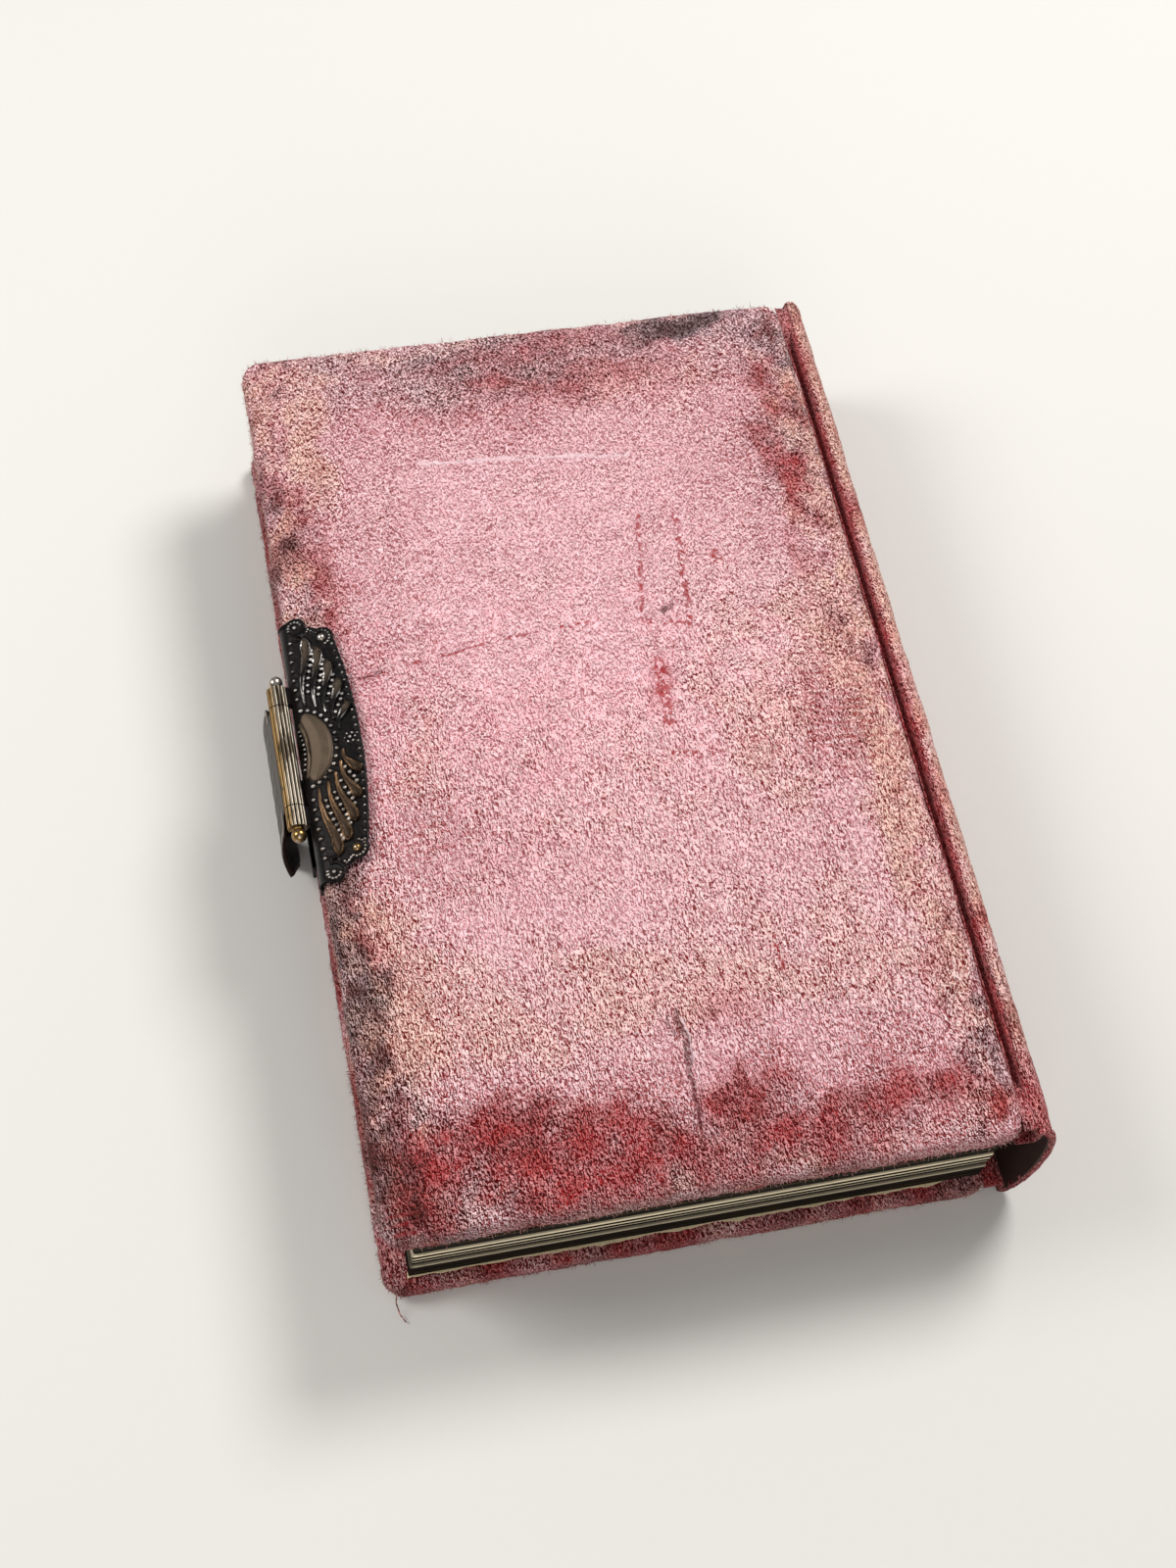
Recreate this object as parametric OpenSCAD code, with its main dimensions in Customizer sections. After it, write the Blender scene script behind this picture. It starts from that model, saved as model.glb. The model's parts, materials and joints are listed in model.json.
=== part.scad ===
// Velvet photo album with a stamped clasp, lying on its back cover.
// Origin: middle of the back cover's underside. +X is the spine side,
// +Y the head, +Z up. All sizes in millimetres.

/* [Covers] */
// Height of the covers from head to tail
cover_l = 230; // [180:1:300]
// Width of a cover from its fore-edge to the joint
cover_w = 139.2; // [110:0.2:200]
// Radius of the covers' corners seen from above
corner_r = 5; // [3.5:0.5:10]
// Thickness of the velvet with its nap
velvet_t = 1.2; // [0.8:0.1:1.8]
// Thickness of the front cover's board
front_board_t = 2.5; // [2:0.1:4]
// Thickness of the back cover's board
back_board_t = 3; // [2:0.1:4]
// Thickness of the wadding at the front cover's edges
wadding_edge_t = 1.1; // [0.8:0.1:2]
// Height that the wadding crowns above the edges
crown_h = 5; // [2:0.5:9]
// Width of the padded shoulder around the front cover
shoulder_w = 36; // [20:1:55]
// Width of the velvet turned in over the inside of a board
turn_in = 13; // [9:0.5:20]

/* [Leaves] */
// Number of card leaves
leaf_count = 12; // [6:1:14]
// Thickness of one card leaf
leaf_t = 2.2; // [1.6:0.1:3]
// Gap between the edges of two leaves
leaf_gap = 0.3; // [0.2:0.05:0.5]
// Depth of the gaps that show between the leaves
leaf_gap_depth = 3; // [2:0.5:6]
// Distance from the cover's fore-edge to the top leaf
fore_square = 6.8; // [5.8:0.1:12]
// Distance from the cover's head or tail to the leaves
end_square = 3; // [2:0.5:6]
// Length that the lowest leaf slides out beyond the top one
leaf_fan = 1.3; // [0:0.1:2]
// Thickness of the loose sheet under the leaves
flyleaf_t = 0.6; // [0.4:0.1:1]
// Width of the picture window in the top leaf
window_w = 98; // [60:1:102]
// Height of the picture window with its round top
window_h = 146; // [100:1:170]
// Depth of the picture window
window_depth = 0.9; // [0.5:0.1:1.3]
// Height of the window's middle above the middle of the leaf
window_rise = 2; // [0:1:10]

/* [Spine] */
// Width of the groove between a cover and the spine
groove_w = 2.3; // [1.8:0.1:4]
// Distance that the spine bulges out beyond its ridge
spine_bulge = 5.9; // [4:0.1:10]
// Radius of the ridge beside the groove
ridge_r = 1.2; // [0.6:0.1:2]
// Distance between the spine and the surface it lies over
spine_lift = 0.5; // [0.3:0.1:1.5]
// Thickness of the card liner inside the spine
liner_t = 1; // [0.6:0.1:1.5]
// Distance from the covers' joint edge to the back of the leaves
back_inset = 2.2; // [2:0.1:5]
// Thickness of the cloth glued to the back of the leaves
lining_t = 0.25; // [0.15:0.05:0.3]
// Width of that cloth on the first and the last leaf
lining_leg = 8; // [4:0.5:15]

/* [Clasp] */
// Distance of the clasp from the middle of the fore-edge towards the head
clasp_y = 2; // [-20:1:20]
// Width of the plate on top of the front cover
plate_w = 13.5; // [12:0.5:18]
// Half the length of the plate
plate_half = 34.6; // [32:0.2:44]
// Thickness of the plate's metal
plate_t = 0.8; // [0.6:0.1:1.2]
// Height of the raised ornament
relief_h = 0.9; // [0.5:0.1:1.4]
// Number of gadroons in each half of the plate
gadroon_count = 5; // [3:1:6]
// Half the width of a gadroon at its head
gadroon_half_w = 1.35; // [0.6:0.05:1.5]
// Radius of a bead
bead_r = 0.62; // [0.4:0.02:0.8]
// Distance of the hinge pin outside the fore-edge
pin_out = 3.7; // [3.7:0.1:5]
// Height of the hinge pin above the front cover's underside
pin_rise = 3.6; // [3:0.1:5]
// Radius of the hinge pin
pin_r = 1.1; // [0.8:0.05:1.3]
// Outer radius of the reeded barrel
barrel_r = 2.35; // [2:0.05:2.5]
// Number of reeds around the barrel
reed_count = 14; // [8:1:20]
// Half the length of the barrel
barrel_half = 18.2; // [14:0.2:24]
// Length of each end knuckle of the barrel
knuckle_l = 5; // [3:0.5:7]
// Radius of the balls at the ends of the pin
ball_r = 1.75; // [1.3:0.05:2.2]
// Radius of the nail heads
nail_r = 1.05; // [0.7:0.05:1.3]

/* [Hasp] */
// Thickness of the hasp's metal
hasp_t = 1; // [0.8:0.1:1.2]
// Half the width of the hasp below the barrel
hasp_half_w = 16.5; // [12:0.5:22]
// Half the width of the hasp at its lower end
hasp_tip_half_w = 8; // [5:0.5:12]
// Distance that the hasp bows outwards
hasp_bow = 2.1; // [1:0.1:4]
// Distance that the hasp's lip curls outwards
hasp_lip = 2; // [1:0.1:3]
// Clearance between the hasp's lower end and the table
hasp_foot = 1; // [0.6:0.1:2]
// Radius of the stud that holds the closed hasp
stud_r = 0.95; // [0.6:0.05:1.1]
// Length of that stud
stud_l = 2.1; // [1.5:0.1:2.5]
// Half the length of the catch plate
catch_half = 12; // [8:0.5:16]
// Width of the catch plate's flange on the back cover
catch_flange = 5; // [4:0.5:6]

/* [Fits] */
// Gap between layers that are glued together
glue_gap = 0.05; // [0.02:0.01:0.1]
// Gap between the leaves and a closed cover
page_gap = 0.4; // [0.35:0.05:0.8]
// Gap between metal and the velvet under it
seat_gap = 0.1; // [0.05:0.05:0.2]
// Radial clearance of the barrel on its pin
pin_fit = 0.06; // [0.03:0.01:0.1]
// Gap between the hasp and the pieces beside it
hasp_gap = 0.3; // [0.25:0.05:0.5]

/* [Hidden] */
$fn = 48;

// Heights of the stack, from the table upwards
back_top = 2 * velvet_t + back_board_t + 2 * glue_gap;
flyleaf_z = back_top + 0.2;
block_z = flyleaf_z + flyleaf_t;
leaf_pitch = leaf_t + leaf_gap;
block_h = leaf_count * leaf_pitch - leaf_gap;
block_top = block_z + block_h;
front_z = block_top + page_gap;
edge_t = 2 * velvet_t + front_board_t + 2 * glue_gap + wadding_edge_t;
edge_r = velvet_t + wadding_edge_t + 0.3;

// Places across the album
fore_x = -cover_w / 2;
joint_x = cover_w / 2;
block_x0 = fore_x + fore_square;
block_x1 = joint_x - back_inset;
block_y = cover_l / 2 - end_square;

// Section of the padded front cover: a rounded edge that runs into the
// shoulder, as stations of inset from the edge, height and corner radius.
// A positive depth gives the same surface that far inside the velvet.
roll_end = 70;
roll_steps = 5;
shoulder_steps = 7;
shoulder_power = 2.2;
roll_inset = edge_r * (1 - cos(roll_end));
roll_z = front_z + edge_t - edge_r;
corner_spread = 0.8;
function shoulder_slope(t) =
    atan(crown_h * shoulder_power / (shoulder_w - roll_inset)
         * pow(1 - t, shoulder_power - 1));
function roll_station(a, depth) =
    [edge_r - (edge_r - depth) * cos(a), roll_z + (edge_r - depth) * sin(a),
     max(corner_r - edge_r + (edge_r - depth) * cos(a), 0.5)];
function shoulder_station(t, depth) =
    let (s = roll_inset + t * (shoulder_w - roll_inset),
         z = roll_z + edge_r * sin(roll_end)
             + crown_h * (1 - pow(1 - t, shoulder_power)),
         slope = shoulder_slope(t))
    [s + depth * sin(slope), z - depth * cos(slope),
     corner_r - roll_inset + corner_spread * (s - roll_inset)];
function pillow(depth) = concat(
    [for (i = [0 : roll_steps]) roll_station(roll_end * i / roll_steps, depth)],
    [for (i = [1 : shoulder_steps]) shoulder_station(i / shoulder_steps, depth)]);

// Height of the padded cover's top at an inset from its fore-edge
function pillow_top(s) =
    s <= 0 ? roll_z
    : s < roll_inset ? roll_z + sqrt(edge_r * edge_r - pow(edge_r - s, 2))
    : roll_z + edge_r * sin(roll_end)
      + crown_h * (1 - pow(1 - min(1, (s - roll_inset) / (shoulder_w - roll_inset)),
                           shoulder_power));

// Points of one rounded rectangle, counter-clockwise, from a station
corner_steps = 6;
function ring(w, l, station) =
    let (r = station[2], hx = w / 2 - station[0] - r, hy = l / 2 - station[0] - r)
    [for (c = [0 : 3]) for (i = [0 : corner_steps])
        let (a = 90 * c + 90 * i / corner_steps)
        [(c == 0 || c == 3 ? hx : -hx) + r * cos(a),
         (c < 2 ? hy : -hy) + r * sin(a), station[1]]];

// Closed skin through rounded rectangles, from the first station to the last
module loft(w, l, stations) {
    n = 4 * (corner_steps + 1);
    rings = len(stations);
    polyhedron(
        points = [for (s = stations) each ring(w, l, s)],
        faces = concat(
            [[for (i = [0 : n - 1]) i]],
            [for (k = [0 : rings - 2]) for (i = [0 : n - 1])
                let (j = (i + 1) % n)
                each [[k * n + i, (k + 1) * n + i, (k + 1) * n + j],
                      [k * n + i, (k + 1) * n + j, k * n + j]]],
            [[for (i = [n - 1 : -1 : 0]) (rings - 1) * n + i]]));
}

// Flat slab with round corners
module slab(w, l, t, r) {
    for (x = [-1, 1]) for (y = [-1, 1])
        translate([x * (w / 2 - r), y * (l / 2 - r), 0]) cylinder(h = t, r = r);
    translate([-w / 2, r - l / 2, 0]) cube([w, l - 2 * r, t]);
    translate([r - w / 2, -l / 2, 0]) cube([w - 2 * r, l, t]);
}

// Covers
board_inset = velvet_t + 2 * glue_gap;
lip_r = corner_r / 2;
velvet_round = 0.8;
panel_gap = 0.3;

module back_board() {
    color("tan")
    translate([0, 0, velvet_t + glue_gap])
        slab(cover_w - 2 * board_inset, cover_l - 2 * board_inset, back_board_t,
             corner_r - board_inset);
}

module back_velvet() {
    inner_r = corner_r - velvet_t;
    under = back_top - velvet_t;
    color("palevioletred")
    loft(cover_w, cover_l, [
        [velvet_t, velvet_t, inner_r],
        [velvet_t, under, inner_r],
        [turn_in, under, lip_r],
        [turn_in, back_top, lip_r],
        [velvet_round, back_top, corner_r - velvet_round],
        [velvet_round * 0.3, back_top - velvet_round * 0.3, corner_r - velvet_round * 0.3],
        [0, back_top - velvet_round, corner_r],
        [0, 2 * velvet_round, corner_r],
        [velvet_round * 0.3, velvet_round * 0.7, corner_r - velvet_round * 0.3],
        [velvet_round, 0.15, corner_r - velvet_round],
        [2 * velvet_round, 0, corner_r - 2 * velvet_round]]);
}

module endpaper_panel() {
    panel_inset = turn_in + panel_gap;
    slab(cover_w - 2 * panel_inset, cover_l - 2 * panel_inset,
         velvet_t - 2 * glue_gap, lip_r);
}

module back_endpaper() {
    color("wheat")
    translate([0, 0, back_top - velvet_t + glue_gap]) endpaper_panel();
}

module front_board() {
    color("tan")
    translate([0, 0, front_z + velvet_t + glue_gap])
        slab(cover_w - 2 * board_inset, cover_l - 2 * board_inset, front_board_t,
             corner_r - board_inset);
}

module front_wadding() {
    depth = velvet_t + glue_gap;
    bottom = front_z + velvet_t + front_board_t + 2 * glue_gap;
    stations = pillow(depth);
    color("ivory")
    loft(cover_w, cover_l, concat(
        [[board_inset + 0.5, bottom, corner_r - board_inset - 0.5]],
        [for (s = stations) if (s[1] > bottom + 0.1) s]));
}

module front_velvet() {
    inner = pillow(velvet_t);
    under = front_z + velvet_t;
    color("palevioletred")
    loft(cover_w, cover_l, concat(
        [for (i = [len(inner) - 1 : -1 : 0]) inner[i]],
        [[velvet_t, under, corner_r - velvet_t],
         [turn_in, under, lip_r],
         [turn_in, front_z, lip_r],
         [velvet_round, front_z, corner_r - velvet_round],
         [velvet_round * 0.3, front_z + velvet_round * 0.3, corner_r - velvet_round * 0.3],
         [0, front_z + velvet_round, corner_r]],
        pillow(0)));
}

module front_endpaper() {
    color("wheat")
    translate([0, 0, front_z + glue_gap]) endpaper_panel();
}

// Leaves
module leaf(i) {
    low = 1 - i / (leaf_count - 1);
    out = leaf_fan * low * low;
    jitter = 0.25 * sin(137 * i);
    x0 = block_x0 - out + jitter * 0.6;
    y0 = -block_y + 0.2 + jitter;
    translate([x0, y0, block_z + i * leaf_pitch])
        cube([block_x1 - x0, block_y - 0.2 + jitter - y0, leaf_t]);
}

module arched_window(depth) {
    r = window_w / 2;
    linear_extrude(height = depth) {
        translate([-r, -window_h / 2]) square([window_w, window_h - r]);
        translate([0, window_h / 2 - r]) circle(r = r, $fn = 72);
    }
}

module page_block() {
    core_x = block_x0 + leaf_gap_depth;
    core_y = block_y - leaf_gap_depth;
    middle_x = (block_x0 + block_x1) / 2;
    color("khaki")
    difference() {
        union() {
            for (i = [0 : leaf_count - 1]) leaf(i);
            translate([core_x, -core_y, block_z])
                cube([block_x1 - core_x, 2 * core_y, block_h]);
        }
        translate([middle_x - 1, window_rise, block_top - window_depth])
            arched_window(window_depth + 1);
    }
}

module back_flyleaf() {
    ragged = 0.9;
    x0 = block_x0 - leaf_fan - ragged;
    x1 = block_x1 - lining_leg - panel_gap;
    color("wheat")
    translate([x0, -block_y - ragged, flyleaf_z])
        cube([x1 - x0, 2 * (block_y + ragged), flyleaf_t]);
}

// Cloth over the back of the leaves, with a leg on the first and the last
module block_lining() {
    x0 = block_x1 - lining_leg;
    x1 = block_x1 + glue_gap;
    z0 = block_z - glue_gap;
    z1 = block_top + glue_gap;
    t = lining_t;
    color("saddlebrown")
    translate([0, block_y - 1, 0]) rotate([90, 0, 0])
    linear_extrude(height = 2 * (block_y - 1))
        polygon([[x0, z0 - t], [x1 + t, z0 - t], [x1 + t, z1 + t], [x0, z1 + t],
                 [x0, z1], [x1, z1], [x1, z0], [x0, z0]]);
}

// Spine: a ridge beside each groove and a bulging hollow back between them
ridge_x = joint_x + groove_w;
spine_low = spine_lift;
spine_rise = back_top - spine_lift;
spine_high = front_z + spine_rise;
spine_mid = (spine_low + spine_high) / 2;
spine_half = spine_high - spine_mid;
groove_floor = front_z - panel_gap;
spine_steps = 18;

function bulge(depth) =
    [for (i = [0 : spine_steps])
        let (a = 90 - 180 * i / spine_steps)
        [ridge_x + ridge_r + (spine_bulge - depth) * cos(a),
         spine_mid + (spine_half - depth) * sin(a)]];

function reversed(points) = [for (i = [len(points) - 1 : -1 : 0]) points[i]];
function lower(points) = [for (p = points) [p[0], 2 * spine_mid - p[1]]];

module spine_section(points) {
    translate([0, cover_l / 2, 0]) rotate([90, 0, 0])
        linear_extrude(height = cover_l) polygon(points);
}

module spine_velvet() {
    strip_x = block_x1 + 2 * glue_gap + lining_t + panel_gap;
    fold = 0.4;
    outer = concat(
        [[strip_x, groove_floor], [ridge_x, groove_floor]],
        [for (a = [180 : -22.5 : 112.5])
            [ridge_x + ridge_r + ridge_r * cos(a), spine_high - ridge_r + ridge_r * sin(a)]]);
    inner = [[strip_x, groove_floor - velvet_t],
             [ridge_x + velvet_t, groove_floor - velvet_t],
             [ridge_x + velvet_t, spine_high - ridge_r - fold]];
    color("palevioletred")
    spine_section(concat(
        outer, bulge(0), reversed(lower(outer)),
        lower(inner), reversed(bulge(velvet_t)), reversed(inner)));
}

module spine_liner() {
    depth = velvet_t + glue_gap;
    color("sienna")
    spine_section(concat(bulge(depth), reversed(bulge(depth + liner_t))));
}

// Clasp: everything below is drawn around the clasp's own middle
pin_x = fore_x - pin_out;
pin_z = front_z + pin_rise;
flange_x = fore_x - seat_gap - plate_t;
ball_y = barrel_half + ball_r + 0.05;

// Height of the plate's top surface at an inset from the fore-edge
function plate_top(s) = pillow_top(s) + seat_gap + plate_t;

// Points of the padded cover's section that the plate lies on
sheet_reach = plate_w + 8;
function sheet_points(depth) =
    [for (p = pillow(depth)) if (p[0] < sheet_reach) [p[0], p[1]]];

module plate_sheet() {
    foot = front_z + panel_gap;
    far = plate_half + 1;
    translate([fore_x, far, 0]) rotate([90, 0, 0])
    linear_extrude(height = 2 * far)
        polygon(concat(
            [[-seat_gap - plate_t, foot]], sheet_points(-seat_gap - plate_t),
            reversed(sheet_points(-seat_gap)), [[-seat_gap, foot]]));
}

// Outline of the plate from above, in inset and distance along the edge:
// a long arc inwards, and an outer, a small middle and an inner lobe at each end
lobe_r = 2.6;
middle_lobe_r = 2.1;
middle_lobe_s = 5.6;
middle_lobe_y = plate_half - 5.4;
inner_lobe_r = 2.8;
inner_lobe_s = 8.3;
inner_lobe_y = plate_half - 7;
side_arc_r = 150;
module plate_outline() {
    back = 2;
    notch = 1.2;
    intersection() {
        translate([plate_w - side_arc_r, 0]) circle(r = side_arc_r, $fn = 360);
        translate([-back, -inner_lobe_y]) square([plate_w + 2 * back, 2 * inner_lobe_y]);
    }
    translate([-back, notch / 2 - plate_half]) square([lobe_r + back, 2 * plate_half - notch]);
    translate([-back, -inner_lobe_y - notch])
        square([inner_lobe_s + back, 2 * (inner_lobe_y + notch)]);
    for (side = [-1, 1]) {
        translate([lobe_r, side * (plate_half - lobe_r)]) circle(r = lobe_r);
        translate([middle_lobe_s, side * middle_lobe_y]) circle(r = middle_lobe_r);
        translate([inner_lobe_s, side * inner_lobe_y]) circle(r = inner_lobe_r);
    }
}

// Gadroon k runs in an S from the boss out to its head, which curls in from the border
boss_s = 9.2;
boss_y = 11.4;
head_s = plate_w - 1.9;
head_y = plate_half - 4.8;
head_fullness = 0.85;
tail_turn = 77.5 / gadroon_count;
head_turn = 67.5 / gadroon_count;
tail_lean = [-0.8, 0];
head_curl = [1.2, 0];
function tail_point(k) =
    let (a = 14 + tail_turn * k) [boss_s * sin(a), boss_y * cos(a)];
function head_point(k) =
    let (a = 18 + head_turn * k) [head_s * pow(sin(a), head_fullness), head_y * cos(a)];
function s_curve(p, q, t) =
    let (rise = [0, q[1] - p[1]], u = 1 - t,
         b = p + 0.5 * rise + tail_lean, c = q - 0.25 * rise + head_curl)
    u * u * u * p + 3 * u * u * t * b + 3 * u * t * t * c + t * t * t * q;

gadroon_steps = 12;
// Height across a gadroon: a raised border around a dished back, feet inside the metal
gadroon_section = [[-1, -0.45], [-0.85, 0.6], [-0.6, 1], [-0.3, 0.65],
                   [0.3, 0.65], [0.6, 1], [0.85, 0.6], [1, -0.45]];
function drop_width(t) =
    t < 0.8 ? 0.3 + 0.7 * pow(t / 0.8, 1.25)
    : sqrt(max(0.02, 1 - pow((t - 0.8) / 0.2, 2)));

module gadroon(p, q) {
    n = len(gadroon_section);
    points = [for (i = [0 : gadroon_steps])
        let (t = i / gadroon_steps,
             here = s_curve(p, q, t),
             ahead = s_curve(p, q, min(1, t + 0.02)) - s_curve(p, q, max(0, t - 0.02)),
             side = [ahead[1], -ahead[0]] / norm(ahead),
             w = gadroon_half_w * drop_width(t),
             h = relief_h * (0.62 + 0.38 * t))
        each [for (c = gadroon_section)
            let (xy = here + side * c[0] * w)
            [xy[0], xy[1], plate_top(xy[0]) + h * c[1]]]];
    polyhedron(
        points = points,
        faces = concat(
            [[for (j = [0 : n - 1]) j]],
            [for (i = [0 : gadroon_steps - 1]) for (j = [0 : n - 1])
                let (m = (j + 1) % n, a = i * n, b = (i + 1) * n)
                each [[a + j, b + j, b + m], [a + j, b + m, a + m]]],
            [[for (j = [n - 1 : -1 : 0]) gadroon_steps * n + j]]));
}

module bead(s, y, r) {
    translate([s, y, plate_top(s)]) sphere(r = r, $fn = 24);
}

// Beads in a row between gadroon k and the next
module bead_row(k) {
    p = (tail_point(k) + tail_point(k + 1)) / 2;
    q = (head_point(k) + head_point(k + 1)) / 2;
    count = max(2, floor(norm(q - p) / (2.7 * bead_r)) - 1);
    first = 0.16 + 0.04 * k;
    for (i = [0 : count - 1]) {
        xy = s_curve(p, q, first + (0.84 - first) * i / (count - 1));
        bead(xy[0], xy[1], bead_r);
    }
}

// Kidney-shaped boss, hollow towards the fore-edge, with a rib along its hollow side
boss_half_l = 8.9;
boss_half_w = 3.1;
boss_middle_s = 3.7;
boss_bend = 1.9;
boss_steps = 10;
hollow_s = 1.6;
hollow_r = 21.6;
rib_t = 0.5;
rib_half_l = 6;
function boss_edge(way, last) =
    [for (i = [-last : last])
        let (y = boss_half_l * sin(90 * i / boss_steps), across = abs(y) / boss_half_l)
        [boss_middle_s - boss_bend * across * across
         + way * boss_half_w * sqrt(max(0, 1 - pow(across, 2.6))), y]];
module hollow_circle(r) {
    translate([hollow_s - hollow_r, 0]) circle(r = r, $fn = 120);
}
module boss_outline() {
    difference() {
        polygon(concat(boss_edge(1, boss_steps), reversed(boss_edge(-1, boss_steps - 1))));
        hollow_circle(hollow_r);
    }
}

module rib_outline() {
    intersection() {
        difference() {
            hollow_circle(hollow_r + 0.01);
            hollow_circle(hollow_r - rib_t);
        }
        translate([0, -rib_half_l]) square([boss_middle_s, 2 * rib_half_l]);
    }
}

// An outline raised above the plate, which follows its curved surface
module raised(rise) {
    far = boss_half_l + 1;
    intersection() {
        translate([0, 0, front_z]) linear_extrude(height = edge_t + 2 * crown_h) children();
        translate([0, far, rise]) rotate([90, 0, 0]) linear_extrude(height = 2 * far)
            polygon(concat(sheet_points(-seat_gap - plate_t),
                           reversed([for (p = sheet_points(0)) p - [0, rise]])));
    }
}

// A row of small beads between the rib and the fore-edge
hollow_beads = 7;
hollow_bead_r = 0.42;
module hollow_bead_row() {
    for (i = [0 : hollow_beads - 1]) {
        a = 13 * (2 * i / (hollow_beads - 1) - 1);
        r = hollow_r - rib_t - hollow_bead_r - 0.1;
        bead(hollow_s - hollow_r + r * cos(a), r * sin(a), hollow_bead_r);
    }
}

module reeded_tube(y0, y1, bore_r) {
    reed_r = 0.42;
    root_r = barrel_r - 0.25;
    translate([pin_x, y1, pin_z]) rotate([90, 0, 0])
    linear_extrude(height = y1 - y0)
    difference() {
        union() {
            circle(r = root_r);
            for (i = [0 : reed_count - 1]) rotate(360 * i / reed_count)
                translate([barrel_r - reed_r, 0]) circle(r = reed_r, $fn = 16);
        }
        circle(r = bore_r);
    }
}

knuckle_y = barrel_half - knuckle_l;
pin_grip = 0.02;
module plate_knuckle(side) {
    y0 = side > 0 ? knuckle_y : -barrel_half;
    web_z = 1.1;
    reeded_tube(y0, y0 + knuckle_l, pin_r + pin_grip);
    difference() {
        translate([pin_x, y0, pin_z - web_z])
            cube([flange_x + plate_t / 2 - pin_x, knuckle_l, 2 * web_z]);
        translate([pin_x, y0 - 1, pin_z]) rotate([-90, 0, 0])
            cylinder(h = knuckle_l + 2, r = barrel_r - 0.4);
    }
}

module clasp_plate() {
    rim_beads = 15;
    rim_s = boss_s - 1.4;
    rim_y = boss_y - 1.4;
    color("dimgray")
    translate([0, clasp_y, 0]) {
        intersection() {
            plate_sheet();
            translate([fore_x, 0, front_z])
                linear_extrude(height = edge_t + 2 * crown_h) plate_outline();
        }
        translate([fore_x, 0, 0]) {
            for (flip_y = [0, 1]) mirror([0, flip_y, 0]) {
                for (k = [0 : gadroon_count - 1]) gadroon(tail_point(k), head_point(k));
                for (k = [0 : gadroon_count - 2]) bead_row(k);
            }
            for (i = [0 : rim_beads - 1]) {
                a = 8 + 164 * i / (rim_beads - 1);
                bead(rim_s * sin(a), rim_y * cos(a), bead_r);
            }
            raised(relief_h / 2) boss_outline();
            raised(relief_h / 3) rib_outline();
            hollow_bead_row();
        }
        for (side = [-1, 1]) plate_knuckle(side);
    }
}

// Nail with a domed head, seated at height z and driven in by its depth
module nail(s, y, z, depth) {
    shank_r = 0.45;
    translate([s, y, z]) {
        intersection() {
            sphere(r = nail_r);
            translate([-nail_r, -nail_r, 0]) cube(2 * nail_r);
        }
        translate([0, 0, -depth]) cylinder(h = depth + shank_r, r = shank_r);
    }
}

module clasp_nails() {
    depth = plate_t + seat_gap + velvet_t + wadding_edge_t + 2.5;
    color("silver")
    translate([fore_x, clasp_y, 0])
        for (side = [-1, 1])
            nail(inner_lobe_s, side * inner_lobe_y, plate_top(inner_lobe_s), depth);
}

module hinge_pin() {
    color("silver")
    translate([pin_x, clasp_y, pin_z]) {
        rotate([90, 0, 0]) cylinder(h = 2 * ball_y, r = pin_r, center = true);
        for (side = [-1, 1]) translate([0, side * ball_y, 0]) sphere(r = ball_r);
    }
}

// Hasp: a bowed strap from the middle knuckle down to a curled lip
hasp_drop = pin_z - hasp_foot;
stud_z = back_top / 2 + 0.75;
catch_face = fore_x - seat_gap - plate_t;
lip_start = (pin_z - stud_z) / hasp_drop;
hasp_low_x = catch_face - stud_l - hasp_gap - hasp_t / 2 - pin_x;
function strap_x(u) =
    let (root = -(barrel_r - hasp_t / 2 - 0.1), v = min(1, u / lip_start),
         w = max(0, (u - lip_start) / (1 - lip_start)))
    root + (hasp_low_x - root) * v * v - hasp_bow * sin(180 * v) - hasp_lip * w * w;

module strap_profile() {
    steps = 24;
    line = [for (i = [0 : steps]) let (u = i / steps) [strap_x(u), -hasp_drop * u]];
    polygon(concat(
        [for (p = line) p + [hasp_t / 2, 0]],
        [for (i = [steps : -1 : 0]) line[i] - [hasp_t / 2, 0]]));
}

// The strap is as wide as its knuckle at the pin, then has round shoulders,
// and tapers below its waist
neck_half_w = knuckle_y - 0.25;
module hasp_outline() {
    shoulder_z = barrel_r + hasp_gap + 0.4;
    r = 3;
    waist = 0.72 * hasp_drop;
    translate([-neck_half_w, -shoulder_z - r]) square([2 * neck_half_w, shoulder_z + r]);
    for (side = [-1, 1])
        translate([side * (hasp_half_w - r), -shoulder_z - r]) circle(r = r);
    translate([-hasp_half_w + r, -shoulder_z - r]) square([2 * (hasp_half_w - r), r]);
    polygon([[-hasp_half_w, -shoulder_z - r], [hasp_half_w, -shoulder_z - r],
             [hasp_half_w, -waist], [hasp_tip_half_w, -hasp_drop],
             [-hasp_tip_half_w, -hasp_drop], [-hasp_half_w, -waist]]);
}

module hasp() {
    eye_r = stud_r + 0.4;
    deep = 4 * (hasp_bow + hasp_lip);
    color("gray")
    translate([0, clasp_y, 0]) {
        reeded_tube(-neck_half_w, neck_half_w, pin_r + pin_fit);
        translate([pin_x, 0, pin_z])
        difference() {
            intersection() {
                translate([0, hasp_half_w + 1, 0]) rotate([90, 0, 0])
                    linear_extrude(height = 2 * hasp_half_w + 2) strap_profile();
                rotate([90, 0, -90]) translate([0, 0, -deep])
                    linear_extrude(height = 2 * deep) hasp_outline();
            }
            rotate([90, 0, 0])
                cylinder(h = 2 * neck_half_w + 2, r = pin_r + pin_fit, center = true);
            translate([0, 0, stud_z - pin_z]) rotate([0, 90, 0])
                cylinder(h = 2 * deep, r = eye_r, center = true);
        }
    }
}

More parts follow.
